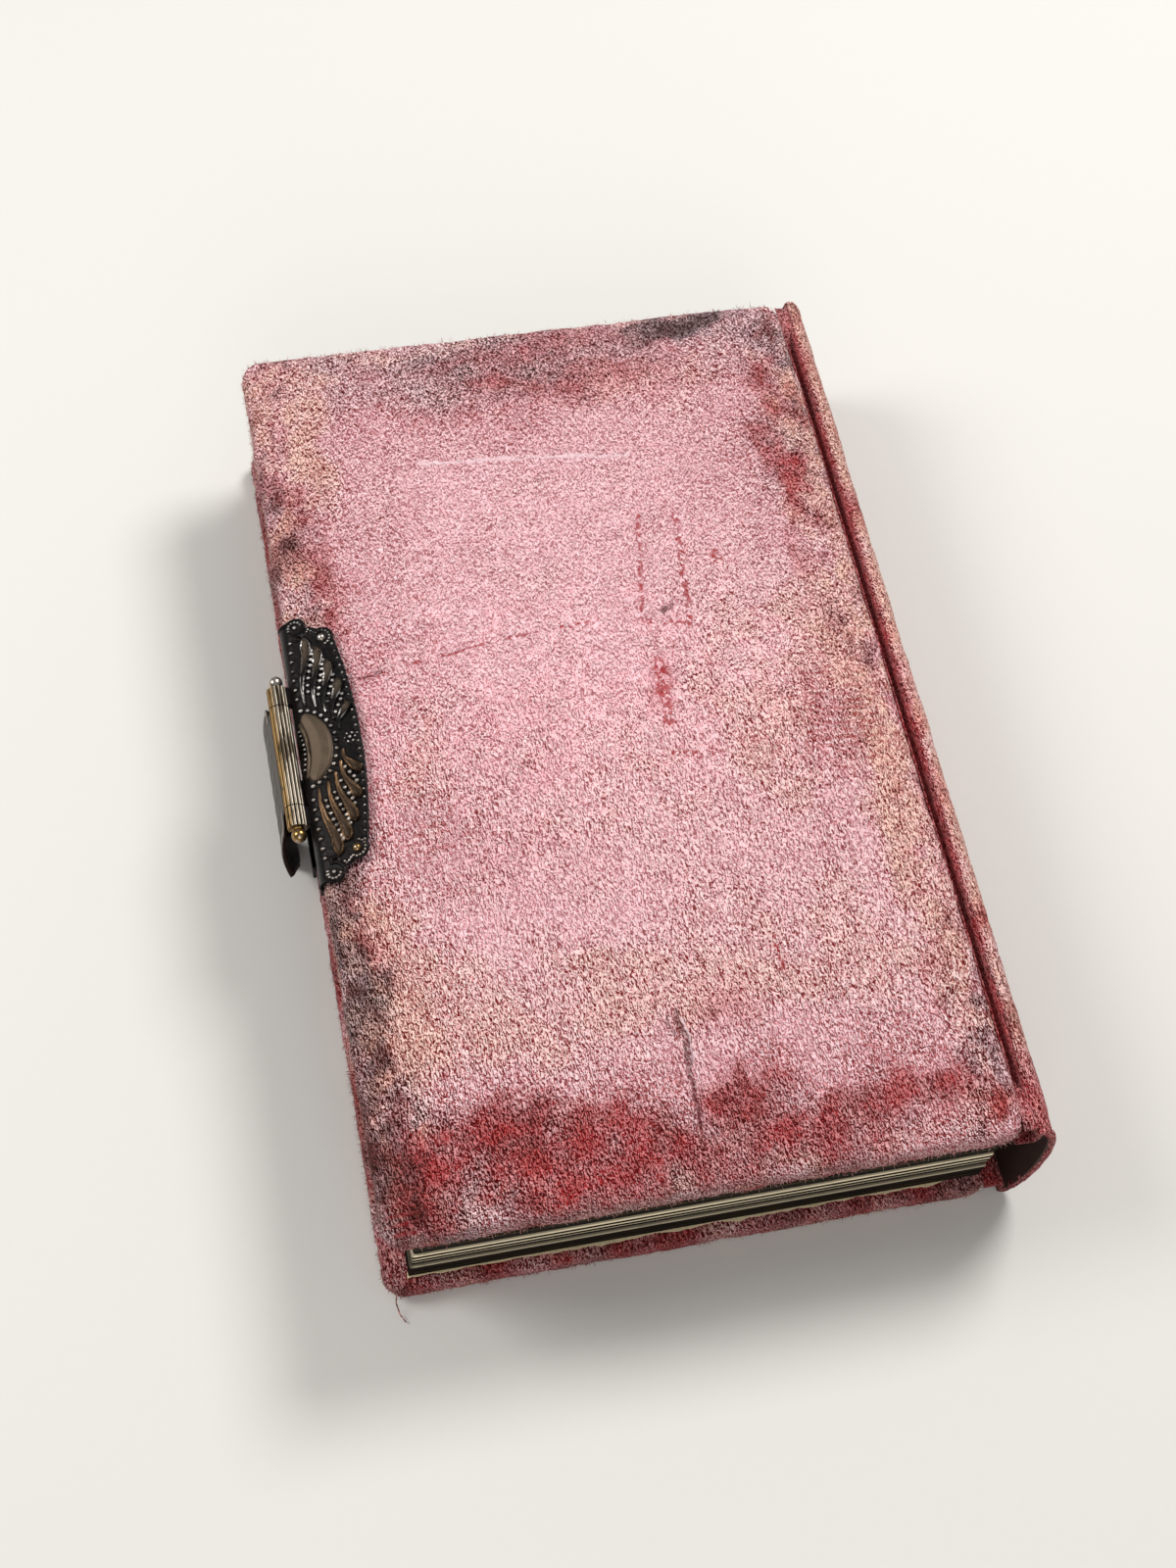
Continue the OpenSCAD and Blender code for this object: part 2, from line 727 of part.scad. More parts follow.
// Catch plate on the back cover's fore-edge, with the stud for the hasp
module catch_plate() {
    top = back_top + seat_gap + plate_t;
    foot = velvet_round;
    color("dimgray")
    translate([0, clasp_y, 0]) {
        translate([catch_face, -catch_half, foot]) cube([plate_t, 2 * catch_half, top - foot]);
        translate([catch_face, -catch_half, back_top + seat_gap])
            cube([catch_flange, 2 * catch_half, plate_t]);
        translate([catch_face + plate_t / 2, 0, stud_z]) rotate([0, -90, 0])
            cylinder(h = stud_l + plate_t / 2, r = stud_r);
    }
}

module catch_nails() {
    y = catch_half - 3;
    depth = plate_t + seat_gap + velvet_t + 1;
    color("silver")
    translate([fore_x, clasp_y, 0])
        for (side = [-1, 1])
            nail(catch_flange / 2, side * y, back_top + seat_gap + plate_t, depth);
}

back_board();
back_velvet();
back_endpaper();
back_flyleaf();
catch_plate();
catch_nails();
page_block();
block_lining();
spine_liner();
spine_velvet();
front_board();
front_wadding();
front_velvet();
front_endpaper();
clasp_plate();
clasp_nails();
hinge_pin();
hasp();
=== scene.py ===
import bisect
import json
import math
import random

import bmesh
import bpy
from bpy.props import FloatProperty, FloatVectorProperty, IntProperty, PointerProperty
from mathutils import Matrix, Vector, noise
from mathutils.bvhtree import BVHTree

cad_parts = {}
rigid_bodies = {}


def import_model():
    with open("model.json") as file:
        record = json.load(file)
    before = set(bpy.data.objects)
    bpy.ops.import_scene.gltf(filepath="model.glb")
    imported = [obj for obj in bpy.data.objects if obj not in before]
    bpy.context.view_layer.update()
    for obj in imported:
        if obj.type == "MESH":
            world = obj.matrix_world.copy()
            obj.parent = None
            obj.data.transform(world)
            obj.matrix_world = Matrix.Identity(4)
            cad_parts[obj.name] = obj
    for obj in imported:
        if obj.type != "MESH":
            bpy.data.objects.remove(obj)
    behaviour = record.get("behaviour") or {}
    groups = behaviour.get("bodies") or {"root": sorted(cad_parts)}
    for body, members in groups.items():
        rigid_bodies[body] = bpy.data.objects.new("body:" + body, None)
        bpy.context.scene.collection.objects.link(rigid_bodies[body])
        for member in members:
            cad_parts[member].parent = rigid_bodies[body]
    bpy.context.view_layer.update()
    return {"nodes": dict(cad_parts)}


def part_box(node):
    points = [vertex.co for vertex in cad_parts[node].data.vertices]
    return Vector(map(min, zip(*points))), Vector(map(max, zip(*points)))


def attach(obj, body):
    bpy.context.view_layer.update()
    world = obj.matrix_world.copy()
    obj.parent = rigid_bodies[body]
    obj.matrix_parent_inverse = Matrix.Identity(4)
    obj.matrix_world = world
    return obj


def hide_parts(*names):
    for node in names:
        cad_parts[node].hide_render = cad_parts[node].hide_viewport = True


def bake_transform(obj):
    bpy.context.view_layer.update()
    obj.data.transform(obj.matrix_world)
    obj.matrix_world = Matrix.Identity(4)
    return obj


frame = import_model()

bl_info = {
    "name": "Velvet Album",
    "version": (1, 0, 0),
    "blender": (4, 5, 0),
    "location": "3D View > Sidebar > Album",
    "description": "Dresses the album's frame in worn velvet, card leaves and a stamped clasp",
    "category": "Object",
}

MM = 0.001

# Places in millimetres, read from the frame
FRONT_LOW, FRONT_HIGH = (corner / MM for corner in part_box("front_velvet"))
BACK_LOW, BACK_HIGH = (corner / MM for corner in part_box("back_velvet"))
SPINE_LOW, SPINE_HIGH = (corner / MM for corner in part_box("spine_velvet"))
LEAVES_LOW, LEAVES_HIGH = (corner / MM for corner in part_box("page_block"))
PAPER_LOW, PAPER_HIGH = (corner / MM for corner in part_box("front_endpaper"))
SHEET_LOW, SHEET_HIGH = (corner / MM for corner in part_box("back_flyleaf"))
PLATE_LOW, PLATE_HIGH = (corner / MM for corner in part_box("clasp_plate"))
HASP_LOW, HASP_HIGH = (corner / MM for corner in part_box("hasp"))
PIN_LOW, PIN_HIGH = (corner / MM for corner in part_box("hinge_pin"))
COVER_W = FRONT_HIGH.x - FRONT_LOW.x
COVER_L = FRONT_HIGH.y - FRONT_LOW.y
FORE_X = FRONT_LOW.x
JOINT_X = FRONT_HIGH.x
FRONT_Z = FRONT_LOW.z
CLASP_Y = (PLATE_LOW.y + PLATE_HIGH.y) / 2
PLATE_HALF = (PLATE_HIGH.y - PLATE_LOW.y) / 2
BALL_R = (PIN_HIGH.z - PIN_LOW.z) / 2
PIN_X = (PIN_LOW.x + PIN_HIGH.x) / 2
PIN_Z = (PIN_LOW.z + PIN_HIGH.z) / 2


def length_setting(name, description, default):
    """A length that the sidebar shows in the scene's units."""
    return FloatProperty(name=name, description=description, default=default * MM,
                         min=0.0, unit="LENGTH", subtype="DISTANCE", precision=5)


def colour_setting(name, description, default):
    """A colour with its sRGB default given as three numbers from 0 to 255."""
    return FloatVectorProperty(name=name, description=description, subtype="COLOR", size=3,
                               min=0.0, max=1.0, default=[linear(c) for c in default])


def linear(byte):
    """The linear value of an sRGB channel from 0 to 255."""
    c = byte / 255
    return c / 12.92 if c <= 0.04045 else ((c + 0.055) / 1.055) ** 2.4


class AlbumSizes(bpy.types.PropertyGroup):
    """Sizes of the album's soft and stamped pieces"""
    velvet: length_setting("Velvet", "Thickness of the velvet with its pile", 1.1)
    velvet_cell: length_setting("Velvet cell", "Distance between points of the velvet", 1.25)
    corner: length_setting("Corner", "Radius of the covers' corners from above", 5.0)
    edge_round: length_setting("Edge round", "Radius of the front cover's padded edge", 2.6)
    edge_height: length_setting("Edge height", "Height of the front cover at its edge", 6.1)
    shoulder: length_setting("Shoulder", "Width of the padded shoulder", 36.0)
    turn_in: length_setting("Turn-in", "Width of the velvet turned in under the board", 13.0)
    pile: length_setting("Pile", "Height of the crushed pile's clumps", 0.16)
    ridge: length_setting("Ridge", "Radius of the ridge beside each groove", 1.2)
    groove: length_setting("Groove", "Width of the groove beside the spine", 2.3)
    leaf: length_setting("Leaf", "Thickness of one card leaf", 2.2)
    leaf_gap: length_setting("Leaf gap", "Gap between the edges of two leaves", 0.3)
    leaf_count: IntProperty(name="Leaves", description="Number of card leaves", default=12, min=2)
    window_width: length_setting("Window width", "Width of the picture window", 98.0)
    window_height: length_setting("Window height", "Height of the picture window", 146.0)
    plate_width: length_setting("Plate width", "Width of the clasp's plate on the cover", 13.5)
    plate_metal: length_setting("Plate metal", "Thickness of the plate's metal", 0.8)
    relief: length_setting("Relief", "Height of the stamped ornament", 0.9)
    bead: length_setting("Bead", "Radius of a bead between the gadroons", 0.62)
    gadroon_count: IntProperty(name="Gadroons", description="Gadroons in each half of the plate",
                               default=5, min=1, max=8)
    reed_count: IntProperty(name="Reeds", description="Reeds around the barrel", default=14, min=6)
    barrel: length_setting("Barrel", "Outer radius of the reeded barrel", 2.35)


class AlbumColours(bpy.types.PropertyGroup):
    """Colours of the album's finishes"""
    rose: colour_setting("Rose", "Velvet where its pile still stands", (208, 118, 122))
    # Pale rose is partly the velvet's own colour and partly a painted sheen, laid where the shade tone is high.
    pale: colour_setting("Pale rose", "Velvet where its pile shines", (252, 188, 196))
    # Brown is partly soiled velvet and partly painted shade, laid where the shade tone is low.
    brown: colour_setting("Brown", "Velvet that is soiled and dull", (98, 32, 28))
    deep: colour_setting("Crimson", "Velvet that has kept its colour", (166, 27, 32))
    cream: colour_setting("Cream", "Ground cloth where the pile is rubbed", (218, 150, 132))
    dirt: colour_setting("Dirt", "Grey dirt in the pile", (52, 27, 20))
    shadow: colour_setting("Pile shadow", "What the gaps of the pile multiply by", (126, 46, 44))
    # The slit colour is painted shade inside the slit and along the creases.
    line: colour_setting("Slit", "Thin dark slits and scratches", (80, 10, 14))
    # This colour and the next two are painted highlights on the tips of the pile.
    tip: colour_setting("Pile tips", "Shining tips of the pile", (255, 226, 232))
    rubbed_painted_highlight: colour_setting("Rubbed tips", "Tips of the pile where it is rubbed", (250, 209, 182))
    crimson_painted_highlight: colour_setting("Crimson tips", "Tips of the crimson pile", (226, 102, 96))
    gunmetal: colour_setting("Gunmetal", "Blackened metal of the clasp", (25, 22, 22))
    worn_metal: colour_setting("Worn metal", "Metal rubbed bright on the ridges", (190, 184, 178))
    matt_metal: colour_setting("Matt metal", "Dull brown metal of the boss", (98, 84, 70))
    bronze: colour_setting("Bronze", "Brown metal of the lower gadroons", (136, 104, 72))
    brass: colour_setting("Brass", "Yellow metal on the barrel", (148, 116, 68))
    reed_metal: colour_setting("Reeds", "Dull silver of the barrel's reeds", (132, 122, 108))
    card: colour_setting("Card", "Cream card of the leaves", (220, 202, 162))
    leaf_edge: colour_setting("Leaf edge", "Darkened edges of the leaves", (38, 25, 8))
    lining: colour_setting("Lining", "Dark brown lining of the spine", (58, 32, 22))
    board: colour_setting("Board", "Grey-brown pasteboard", (150, 128, 98))
    floor: colour_setting("Floor", "Pale floor under the album", (211, 208, 203))


def sizes():
    return bpy.context.scene.album_sizes


def mm(value):
    """A setting in metres as millimetres."""
    return value / MM


def colour(name):
    return tuple(getattr(bpy.context.scene.album_colours, name)) + (1.0,)


# Node maths

class Value:
    """A socket that Python maths adds nodes to."""

    def __init__(self, finish, socket):
        self.finish = finish
        self.socket = socket

    def maths(self, operation, *others, clamp=False):
        values = dict(enumerate((self,) + others))
        return self.finish.add("ShaderNodeMath", {"operation": operation, "use_clamp": clamp}, values)

    def __add__(self, other):
        return self.maths("ADD", other)

    def __sub__(self, other):
        return self.maths("SUBTRACT", other)

    def __rsub__(self, other):
        return self.finish.add("ShaderNodeMath", {"operation": "SUBTRACT"}, {0: other, 1: self})

    def __mul__(self, other):
        return self.maths("MULTIPLY", other)

    def __truediv__(self, other):
        return self.maths("DIVIDE", other)

    def __pow__(self, other):
        return self.maths("POWER", other)

    __radd__ = __add__
    __rmul__ = __mul__

    def size(self):
        return self.maths("ABSOLUTE")

    def most(self, other):
        return self.maths("MAXIMUM", other)

    def least(self, other):
        return self.maths("MINIMUM", other)

    def limited(self):
        return self.maths("ADD", 0.0, clamp=True)

    def rise(self, low, high):
        """0 below low, 1 above high, and smooth between them; low may be above high."""
        if low > high:
            return 1 - self.rise(high, low)
        return self.finish.add("ShaderNodeMapRange", {"interpolation_type": "SMOOTHSTEP"},
                               {"Value": self, "From Min": low, "From Max": high})


class Finish:
    """A material whose nodes are added one call at a time."""

    def __init__(self, name, roughness=0.8, metallic=0.0, **constants):
        self.material = bpy.data.materials.new(name)
        self.material.use_nodes = True
        self.tree = self.material.node_tree
        self.shader = self.tree.nodes["Principled BSDF"]
        self.shader.inputs["Roughness"].default_value = roughness
        self.shader.inputs["Metallic"].default_value = metallic
        for socket, value in constants.items():
            self.shader.inputs[socket.replace("_", " ")].default_value = value
        self.place = self.add("ShaderNodeTexCoord", output="Object")

    def add(self, kind, settings=None, inputs=None, output=0):
        node = self.tree.nodes.new(kind)
        for key, value in (settings or {}).items():
            if key == "stops":
                self.set_stops(node.color_ramp, value)
            else:
                setattr(node, key, value)
        for key, value in (inputs or {}).items():
            if isinstance(value, Value):
                self.tree.links.new(value.socket, node.inputs[key])
            else:
                node.inputs[key].default_value = value
        return Value(self, node.outputs[output])

    def set_stops(self, ramp, stops):
        while len(ramp.elements) < len(stops):
            ramp.elements.new(1.0)
        for element, (position, shade) in zip(ramp.elements, stops):
            element.position = position
            element.color = shade

    def axes(self, vector):
        node = self.add("ShaderNodeSeparateXYZ", inputs={"Vector": vector}).socket.node
        return [Value(self, node.outputs[k]) for k in range(3)]

    def turned(self, angle=0.0, stretch=(1.0, 1.0, 1.0), shift=(0.0, 0.0, 0.0)):
        """The piece's place, turned about Z and then stretched."""
        return self.add("ShaderNodeMapping", {}, {
            "Vector": self.place, "Rotation": (0.0, 0.0, math.radians(angle)),
            "Scale": stretch, "Location": shift})

    def grain(self, size_mm, detail=3.0, rough=0.55, vector=None, distort=0.0):
        """Noise from 0 to 1 with grains of about that size."""
        return self.add("ShaderNodeTexNoise", {}, {
            "Vector": vector or self.place, "Scale": 1 / (size_mm * MM), "Detail": detail,
            "Roughness": rough, "Distortion": distort})

    def mix(self, factor, first, second, mode="MIX"):
        return self.add("ShaderNodeMix", {"data_type": "RGBA", "blend_type": mode,
                                          "clamp_factor": True},
                        {0: factor, 6: first, 7: second}, output=2)

    def attribute(self, name, output="Fac"):
        return self.add("ShaderNodeAttribute", {"attribute_name": name}, output=output)

    def bump(self, height, depth_mm, strength=1.0):
        return self.add("ShaderNodeBump", {}, {
            "Height": height, "Distance": depth_mm * MM, "Strength": strength})

    def feed(self, **sockets):
        for socket, value in sockets.items():
            target = self.shader.inputs[socket.replace("_", " ")]
            self.tree.links.new(value.socket, target)
        return self.material


def stroke(finish, x, y, start, end, width):
    """1 on a line between two points of the cover, in millimetres, and 0 beyond its width."""
    a, b = Vector(start) * MM, Vector(end) * MM
    run = (b - a).length
    way = (b - a) / run
    along = (x - a.x) * way.x + (y - a.y) * way.y
    across = (x - a.x) * way.y - (y - a.y) * way.x
    past = along - along.most(0.0).least(run)
    gap = (across * across + past * past) ** 0.5
    return gap.rise(width * MM, 0.35 * width * MM)


def velvet_finish(name, marked=False):
    """Crushed rose velvet, painted by the piece's tone attributes, with painted highlights on the pile's tips and
    painted shade in the gaps between its clumps.
    """
    f = Finish(name, roughness=0.9, Sheen_Weight=0.06, Sheen_Roughness=0.4,
               Sheen_Tint=(1.0, 0.80, 0.78, 1.0), Specular_IOR_Level=0.1)
    shade, deep, worn, dirt = (f.attribute(tone) for tone in ("shade", "deep", "worn", "dirt"))
    blotch = f.grain(5, 4.0, 0.6)
    speck = f.grain(1.9, 3.0, 0.6)
    stray = (blotch - 0.5) * 0.8 + (speck - 0.5) * 0.9
    # The clumps are embossed: the difference from a copy shifted by a fraction of a millimetre is added, as if the
    # pile were lit from one side.
    clumps = []
    for angle, stretch in ((-40, (1.0, 0.55, 1.0)), (6, (1.0, 0.45, 1.0))):
        near = f.grain(0.48, 2.2, 0.55, f.turned(angle, stretch), 0.9)
        far = f.grain(0.48, 2.2, 0.55, f.turned(angle, stretch, (0.00015, 0.0001, 0.0001)), 0.9)
        clumps.append(near + (near - far) * 1.7)
    choice = (f.axes(f.place)[1] / (60 * MM) + (blotch - 0.5) * 3.0).rise(-0.4, 0.4)
    nap = clumps[0] * choice + clumps[1] * (1 - choice)
    # The shade tone runs from brown to pale rose; on the front cover it carries painted light, so there brown is
    # partly painted shade and pale rose partly a painted sheen.
    body = f.mix((shade * 2 + stray * 0.35).limited(), colour("brown"), colour("rose"))
    body = f.mix((shade * 2 - 1 + stray * 0.3).limited(), body, colour("pale"))
    body = f.mix((worn + stray).rise(0.2, 0.9) * 0.7, body, colour("cream"))
    crimson = f.mix(f.grain(7, 3.0, 0.6).rise(0.42, 0.62) * 0.6, colour("deep"), colour("brown"))
    body = f.mix((deep + stray * 0.9).rise(0.15, 0.85) * 0.95, body, crimson)
    body = f.mix((dirt + stray * 0.8).rise(0.25, 0.85) * 0.85, body, colour("dirt"))
    # How strongly painted highlights and painted shade mark the pile, more where it is worn.
    painted_light_strength = 0.72 + worn * 0.7 + deep * 0.1 + (1 - shade) * 0.2
    fine = f.grain(0.4, 1.0, 0.5)
    # Painted shade in the gaps between the clumps, and painted highlights on their tips and in fine sparkles.
    gaps = nap.rise(0.50, 0.34).most(fine.rise(0.34, 0.27)) * painted_light_strength.limited()
    lit = nap.rise(0.52, 0.67).most(fine.rise(0.64, 0.71)) * painted_light_strength
    lit = lit * (1 - deep * 0.45) * (1 - dirt * 0.85)
    tips = f.mix(deep * 0.8, f.mix(worn * 0.7, colour("tip"), colour("rubbed_painted_highlight")),
                 colour("crimson_painted_highlight"))
    body = f.mix(gaps, body, colour("shadow"), "MULTIPLY")
    body = f.mix(lit.limited(), body, tips)
    height = nap
    ways = f.axes(f.place)
    ribs = f.add("ShaderNodeTexWave", {"bands_direction": "Y", "wave_profile": "SIN"},
                 {"Vector": f.place, "Scale": 1 / (6.2 * MM), "Distortion": 2.5, "Detail": 2.0,
                  "Detail Scale": 300.0})
    cloth = f.attribute("cloth") * speck.rise(0.3, 0.6)
    body = f.mix(cloth * ribs.rise(0.55, 0.2) * 0.5, body, colour("deep"))
    height = height + ribs * cloth * 0.25
    if marked:
        warp = f.grain(4, 3.0, 0.6)
        x, y = (ways[k] + (warp - 0.5) * 2.4 * MM + (speck - 0.5) * 1.4 * MM for k in (0, 1))
        dashes = f.grain(1.3, 2.0, 0.5).rise(0.46, 0.56)
        # Red lines are crimson marks in the pile; the pale lines are painted highlights and the dark lines painted
        # shade.
        for lines, shade_name, tooth, depth in ((RED_LINES, "deep", dashes, 0.4),
                                                (PAINTED_HIGHLIGHT_LINES, "tip", dashes * 0.3 + 0.7, -0.5),
                                                (PAINTED_SHADE_LINES, "line", dashes * 0.3 + 0.7, 1.2)):
            mark = None
            for start, end, width in lines:
                line = stroke(f, x, y, start, end, width)
                mark = line if mark is None else mark.most(line)
            body = f.mix(mark * tooth * 0.75, body, colour(shade_name))
            height = height - mark * tooth * depth
    return f.feed(Base_Color=body, Normal=f.bump(height, 0.38, 1.0))


# Marks on the front cover, in millimetres from the album's middle
RED_LINES = [
    ((18.4, 50.6), (13.2, 20.3), 0.9),
    ((27.4, 49.2), (24.2, 18.6), 1.2),
    ((13.2, 20.3), (24.2, 18.6), 0.8),
    ((14.5, 8.5), (13.6, -7.0), 2.6),
    ((13.0, -15.5), (18.5, -16.5), 1.4),
    ((22.0, -16.4), (22.6, -16.6), 1.1),
    ((34.6, 36.8), (35.4, 36.0), 2.0),
    ((24.6, -62.0), (25.0, -73.0), 0.7),
    ((-55.0, 17.2), (-28.0, 20.0), 0.5),
    ((-28.0, 20.0), (2.0, 22.4), 0.4),
    ((22.4, 86.0), (22.0, 98.0), 0.3),
]
# Painted highlights along the ridges of creases and beside the slit.
PAINTED_HIGHLIGHT_LINES = [
    ((-31.0, 73.5), (-9.0, 71.7), 0.75),
    ((-9.0, 71.7), (20.0, 68.6), 0.65),
    ((0.9, -78.0), (1.0, -88.0), 0.35),
]
# Painted shade inside the slit and in short dark marks along the creases.
PAINTED_SHADE_LINES = [
    ((-0.1, -76.5), (0.3, -84.0), 0.8),
    ((0.3, -84.0), (0.1, -91.0), 1.0),
    ((0.1, -91.0), (-0.2, -102.0), 0.7),
    ((-2.4, -77.5), (-1.8, -82.0), 0.3),
    ((18.8, 23.0), (20.6, 23.6), 1.0),
    ((-54.6, 17.4), (-49.0, 18.0), 0.25),
]
CREASES = [
    ([(-31, 73.5), (-9, 71.7), (20, 68.6)], 0.30, 0.9),
    ([(-55, 17.2), (-28, 20), (2, 22.4)], 0.26, 0.9),
    ([(-0.1, -76), (0.2, -90), (-0.2, -103)], 0.55, 0.8),
    ([(24.4, -61), (24.9, -74)], 0.35, 0.8),
    ([(14.5, 8), (13.6, -7)], 0.22, 1.5),
    ([(18.4, 50.6), (13.2, 20.3)], 0.15, 0.8),
    ([(27.4, 49.2), (24.2, 18.6)], 0.15, 0.9),
    ([(-52, 92), (-51, 60), (-50, 38)], 0.22, 2.5),
    ([(-47, -38), (-51, -70), (-50, -100)], 0.25, 2.5),
]


def metal_finish(name, dark, ridge, tarnish=0.5):
    """Blackened metal that is bright where its relief attribute is high: partly metal rubbed on the ridges, partly
    painted highlights on the bead tops and gadroon crests.
    """
    f = Finish(name, roughness=0.3, metallic=0.9)
    relief = f.attribute("relief")
    bronze = f.attribute("bronze")
    smoke = f.grain(2.2, 4.0, 0.6)
    specks = f.grain(0.35, 3.0, 0.6)
    matt = f.attribute("matt")
    rubbed = (relief + (smoke - 0.5) * tarnish + (specks - 0.5) * 0.3).rise(0.5, 0.95)
    worn = f.mix(bronze, ridge, colour("bronze"))
    body = f.mix(bronze * 0.8, dark, f.mix(0.45, dark, colour("bronze")))
    body = f.mix(rubbed, body, worn)
    body = f.mix(matt * (0.9 + (smoke - 0.5) * 0.8), body, colour("matt_metal"))
    rough = 0.2 + smoke * 0.2 + (1 - relief) * 0.1 + bronze * 0.12 + matt * 0.2
    return f.feed(Base_Color=body, Roughness=rough.limited(),
                  Normal=f.bump(specks * 0.6 + smoke * 0.4, 0.06, 0.7))


def barrel_finish():
    """Silvery reeds with dark grooves and brown tarnish, and brass on the outer side."""
    f = Finish("tarnished_reeds", roughness=0.34, metallic=0.92)
    relief = f.attribute("relief")
    streak = f.grain(0.9, 4.0, 0.65, f.turned(0, (1.0, 0.10, 1.0)))
    stain = f.grain(2.4, 4.0, 0.6, f.turned(0, (1.0, 0.35, 1.0)))
    outside = (f.axes(f.place)[0] / MM - PIN_X + (streak - 0.5) * 1.5).rise(-0.5, -1.9)
    silver = f.mix((outside + stain.rise(0.52, 0.7) * 0.45).limited(), colour("reed_metal"),
                   colour("brass"))
    body = f.mix((relief + (streak - 0.5) * 1.3).rise(0.35, 0.85), colour("gunmetal"), silver)
    body = f.mix(stain.rise(0.53, 0.64) * 0.8, body, colour("gunmetal"))
    return f.feed(Base_Color=body, Normal=f.bump(streak, 0.06, 0.6))


def ball_finish():
    """Bright turned metal at the head end and browned metal at the tail end."""
    f = Finish("bright_balls", roughness=0.26, metallic=0.95)
    spots = f.grain(1.1, 4.0, 0.6)
    tail = f.axes(f.place)[1].rise(4 * MM, -4 * MM)
    brown = (spots.rise(0.48, 0.66) * 0.55 + tail * spots.rise(0.25, 0.5)).limited()
    return f.feed(Base_Color=f.mix(brown, colour("worn_metal"), colour("brass")),
                  Normal=f.bump(spots, 0.05, 0.4))


def leaf_finish():
    """Card whose edges are darkened but for a cream line, painted brighter as a highlight and dimmer where the
    cover shades it, with a gilt line round the window.
    """
    f = Finish("album_card", roughness=0.85, Specular_IOR_Level=0.12)
    s = sizes()
    ways = f.axes(f.place)
    pitch = s.leaf + s.leaf_gap
    turn = (ways[2] - LEAVES_LOW.z * MM) / pitch
    level = turn.maths("FRACT")
    number = turn.maths("FLOOR")
    fibre = f.grain(1.8, 4.0, 0.6, f.turned(0, (0.22, 0.22, 1.6)))
    foxing = f.grain(6, 4.0, 0.6)
    border = (ways[1].size() / MM - LEAVES_HIGH.y).most(LEAVES_LOW.x - ways[0] / MM)
    covered = (ways[2] / MM).rise(LEAVES_HIGH.z - 0.3, LEAVES_HIGH.z - 0.5)
    edge = f.attribute("edge").most(border.rise(-2.8, -2.4) * covered)
    lit = f.add("ShaderNodeTexWhiteNoise", {"noise_dimensions": "1D"}, {"W": number + 3.4})
    line = level.rise(0.67, 0.69) * level.rise(0.89, 0.87)
    # The cream lines are painted brightest on the middle leaves and dimmer above and below them; above, this is
    # painted shade from the cover.
    middle = ((ways[2] / MM - 16.5).size()).rise(7.5, 5.0)
    strength = (middle * (lit * 0.4 + 0.65) + lit * 0.3).limited() ** 2 * fibre.rise(0.15, 0.42)
    # Painted shade dims the lines towards the fore-edge, under the cover's overhang.
    inside = (ways[0] / MM).rise(LEAVES_LOW.x + 0.3, LEAVES_LOW.x + 1.9)
    lines = (line * strength * (inside * 0.85 + 0.15)).limited()
    brown = f.mix(fibre.rise(0.35, 0.7) * 0.8, (0.003, 0.002, 0.001, 1.0), colour("leaf_edge"))
    # The lines' colour is brighter than the card: a painted highlight along each leaf's arris.
    side = f.mix(lines, brown, (1.0, 0.86, 0.60, 1.0))
    page = f.mix(foxing.rise(0.55, 0.8) * 0.35, colour("card"), colour("board"))
    half_w, top_y = mm(s.window_width) / 2, 2.0 + mm(s.window_height) / 2
    x = ways[0] / MM - (LEAVES_LOW.x + LEAVES_HIGH.x + 0.15 + LEAF_FAN) / 2
    y = ways[1] / MM
    round_end = (x * x + (y - (top_y - half_w)).most(0.0) ** 2) ** 0.5 - half_w
    away = round_end.most(4.0 - top_y - y)
    gilt = away.rise(1.9, 2.1) * away.rise(2.9, 2.7)
    page = f.mix(gilt * 0.9, page, colour("brass"))
    body = f.mix(edge, page, side)
    return f.feed(Base_Color=body, Normal=f.bump(fibre, 0.08, 0.5))


def paper_finish(name, shade, mottled, size_mm=5.0, fibre_mm=0.5, depth=0.06, browned=False):
    """Paper, board or cloth of one colour, mottled with a second; its cut edges may be browned."""
    f = Finish(name, roughness=0.85)
    blotch = f.grain(size_mm, 4.0, 0.6)
    fibre = f.grain(fibre_mm, 3.0, 0.6, f.turned(20, (1.0, 0.4, 1.0)))
    body = f.mix(blotch.rise(0.42, 0.75) * 0.4, shade, mottled)
    body = f.mix(fibre.rise(0.5, 0.3) * 0.3, body, f.mix(0.6, mottled, (0.02, 0.015, 0.01, 1.0)))
    if browned:
        x, y = (f.axes(f.place)[k] / MM for k in (0, 1))
        close = (PAPER_LOW.x - x).most(y.size() - PAPER_HIGH.y) + blotch * 0.8
        body = f.mix(close.rise(-0.7, -0.1) * 0.85, body, colour("leaf_edge"))
    return f.feed(Base_Color=body, Normal=f.bump(fibre, depth, 0.6))


def woven_finish(name, shade, mottled, pitch_mm=0.6):
    """Plain-woven cloth."""
    f = Finish(name, roughness=0.9)
    blotch = f.grain(5, 4.0, 0.6)
    waves = [f.add("ShaderNodeTexWave", {"bands_direction": way}, {
        "Vector": f.place, "Scale": 1 / (6.28 * pitch_mm * MM), "Distortion": 1.0,
        "Detail": 1.0}) for way in ("Y", "Z")]
    weave = waves[0] * 0.5 + waves[1] * 0.5
    body = f.mix(blotch.rise(0.4, 0.7), shade, mottled)
    body = f.mix(weave.rise(0.5, 0.2) * 0.4, body, (0.02, 0.012, 0.008, 1.0))
    return f.feed(Base_Color=body, Normal=f.bump(weave, 0.12, 0.8))


def finish_named(name, maker, *args, **settings):
    """A material that is made once and shared."""
    return bpy.data.materials.get(name) or maker(*args, **settings)


# Modelling helpers

def clear_selection():
    if bpy.context.object and bpy.context.object.mode != "OBJECT":
        bpy.ops.object.mode_set(mode="OBJECT")
    bpy.ops.object.select_all(action="DESELECT")


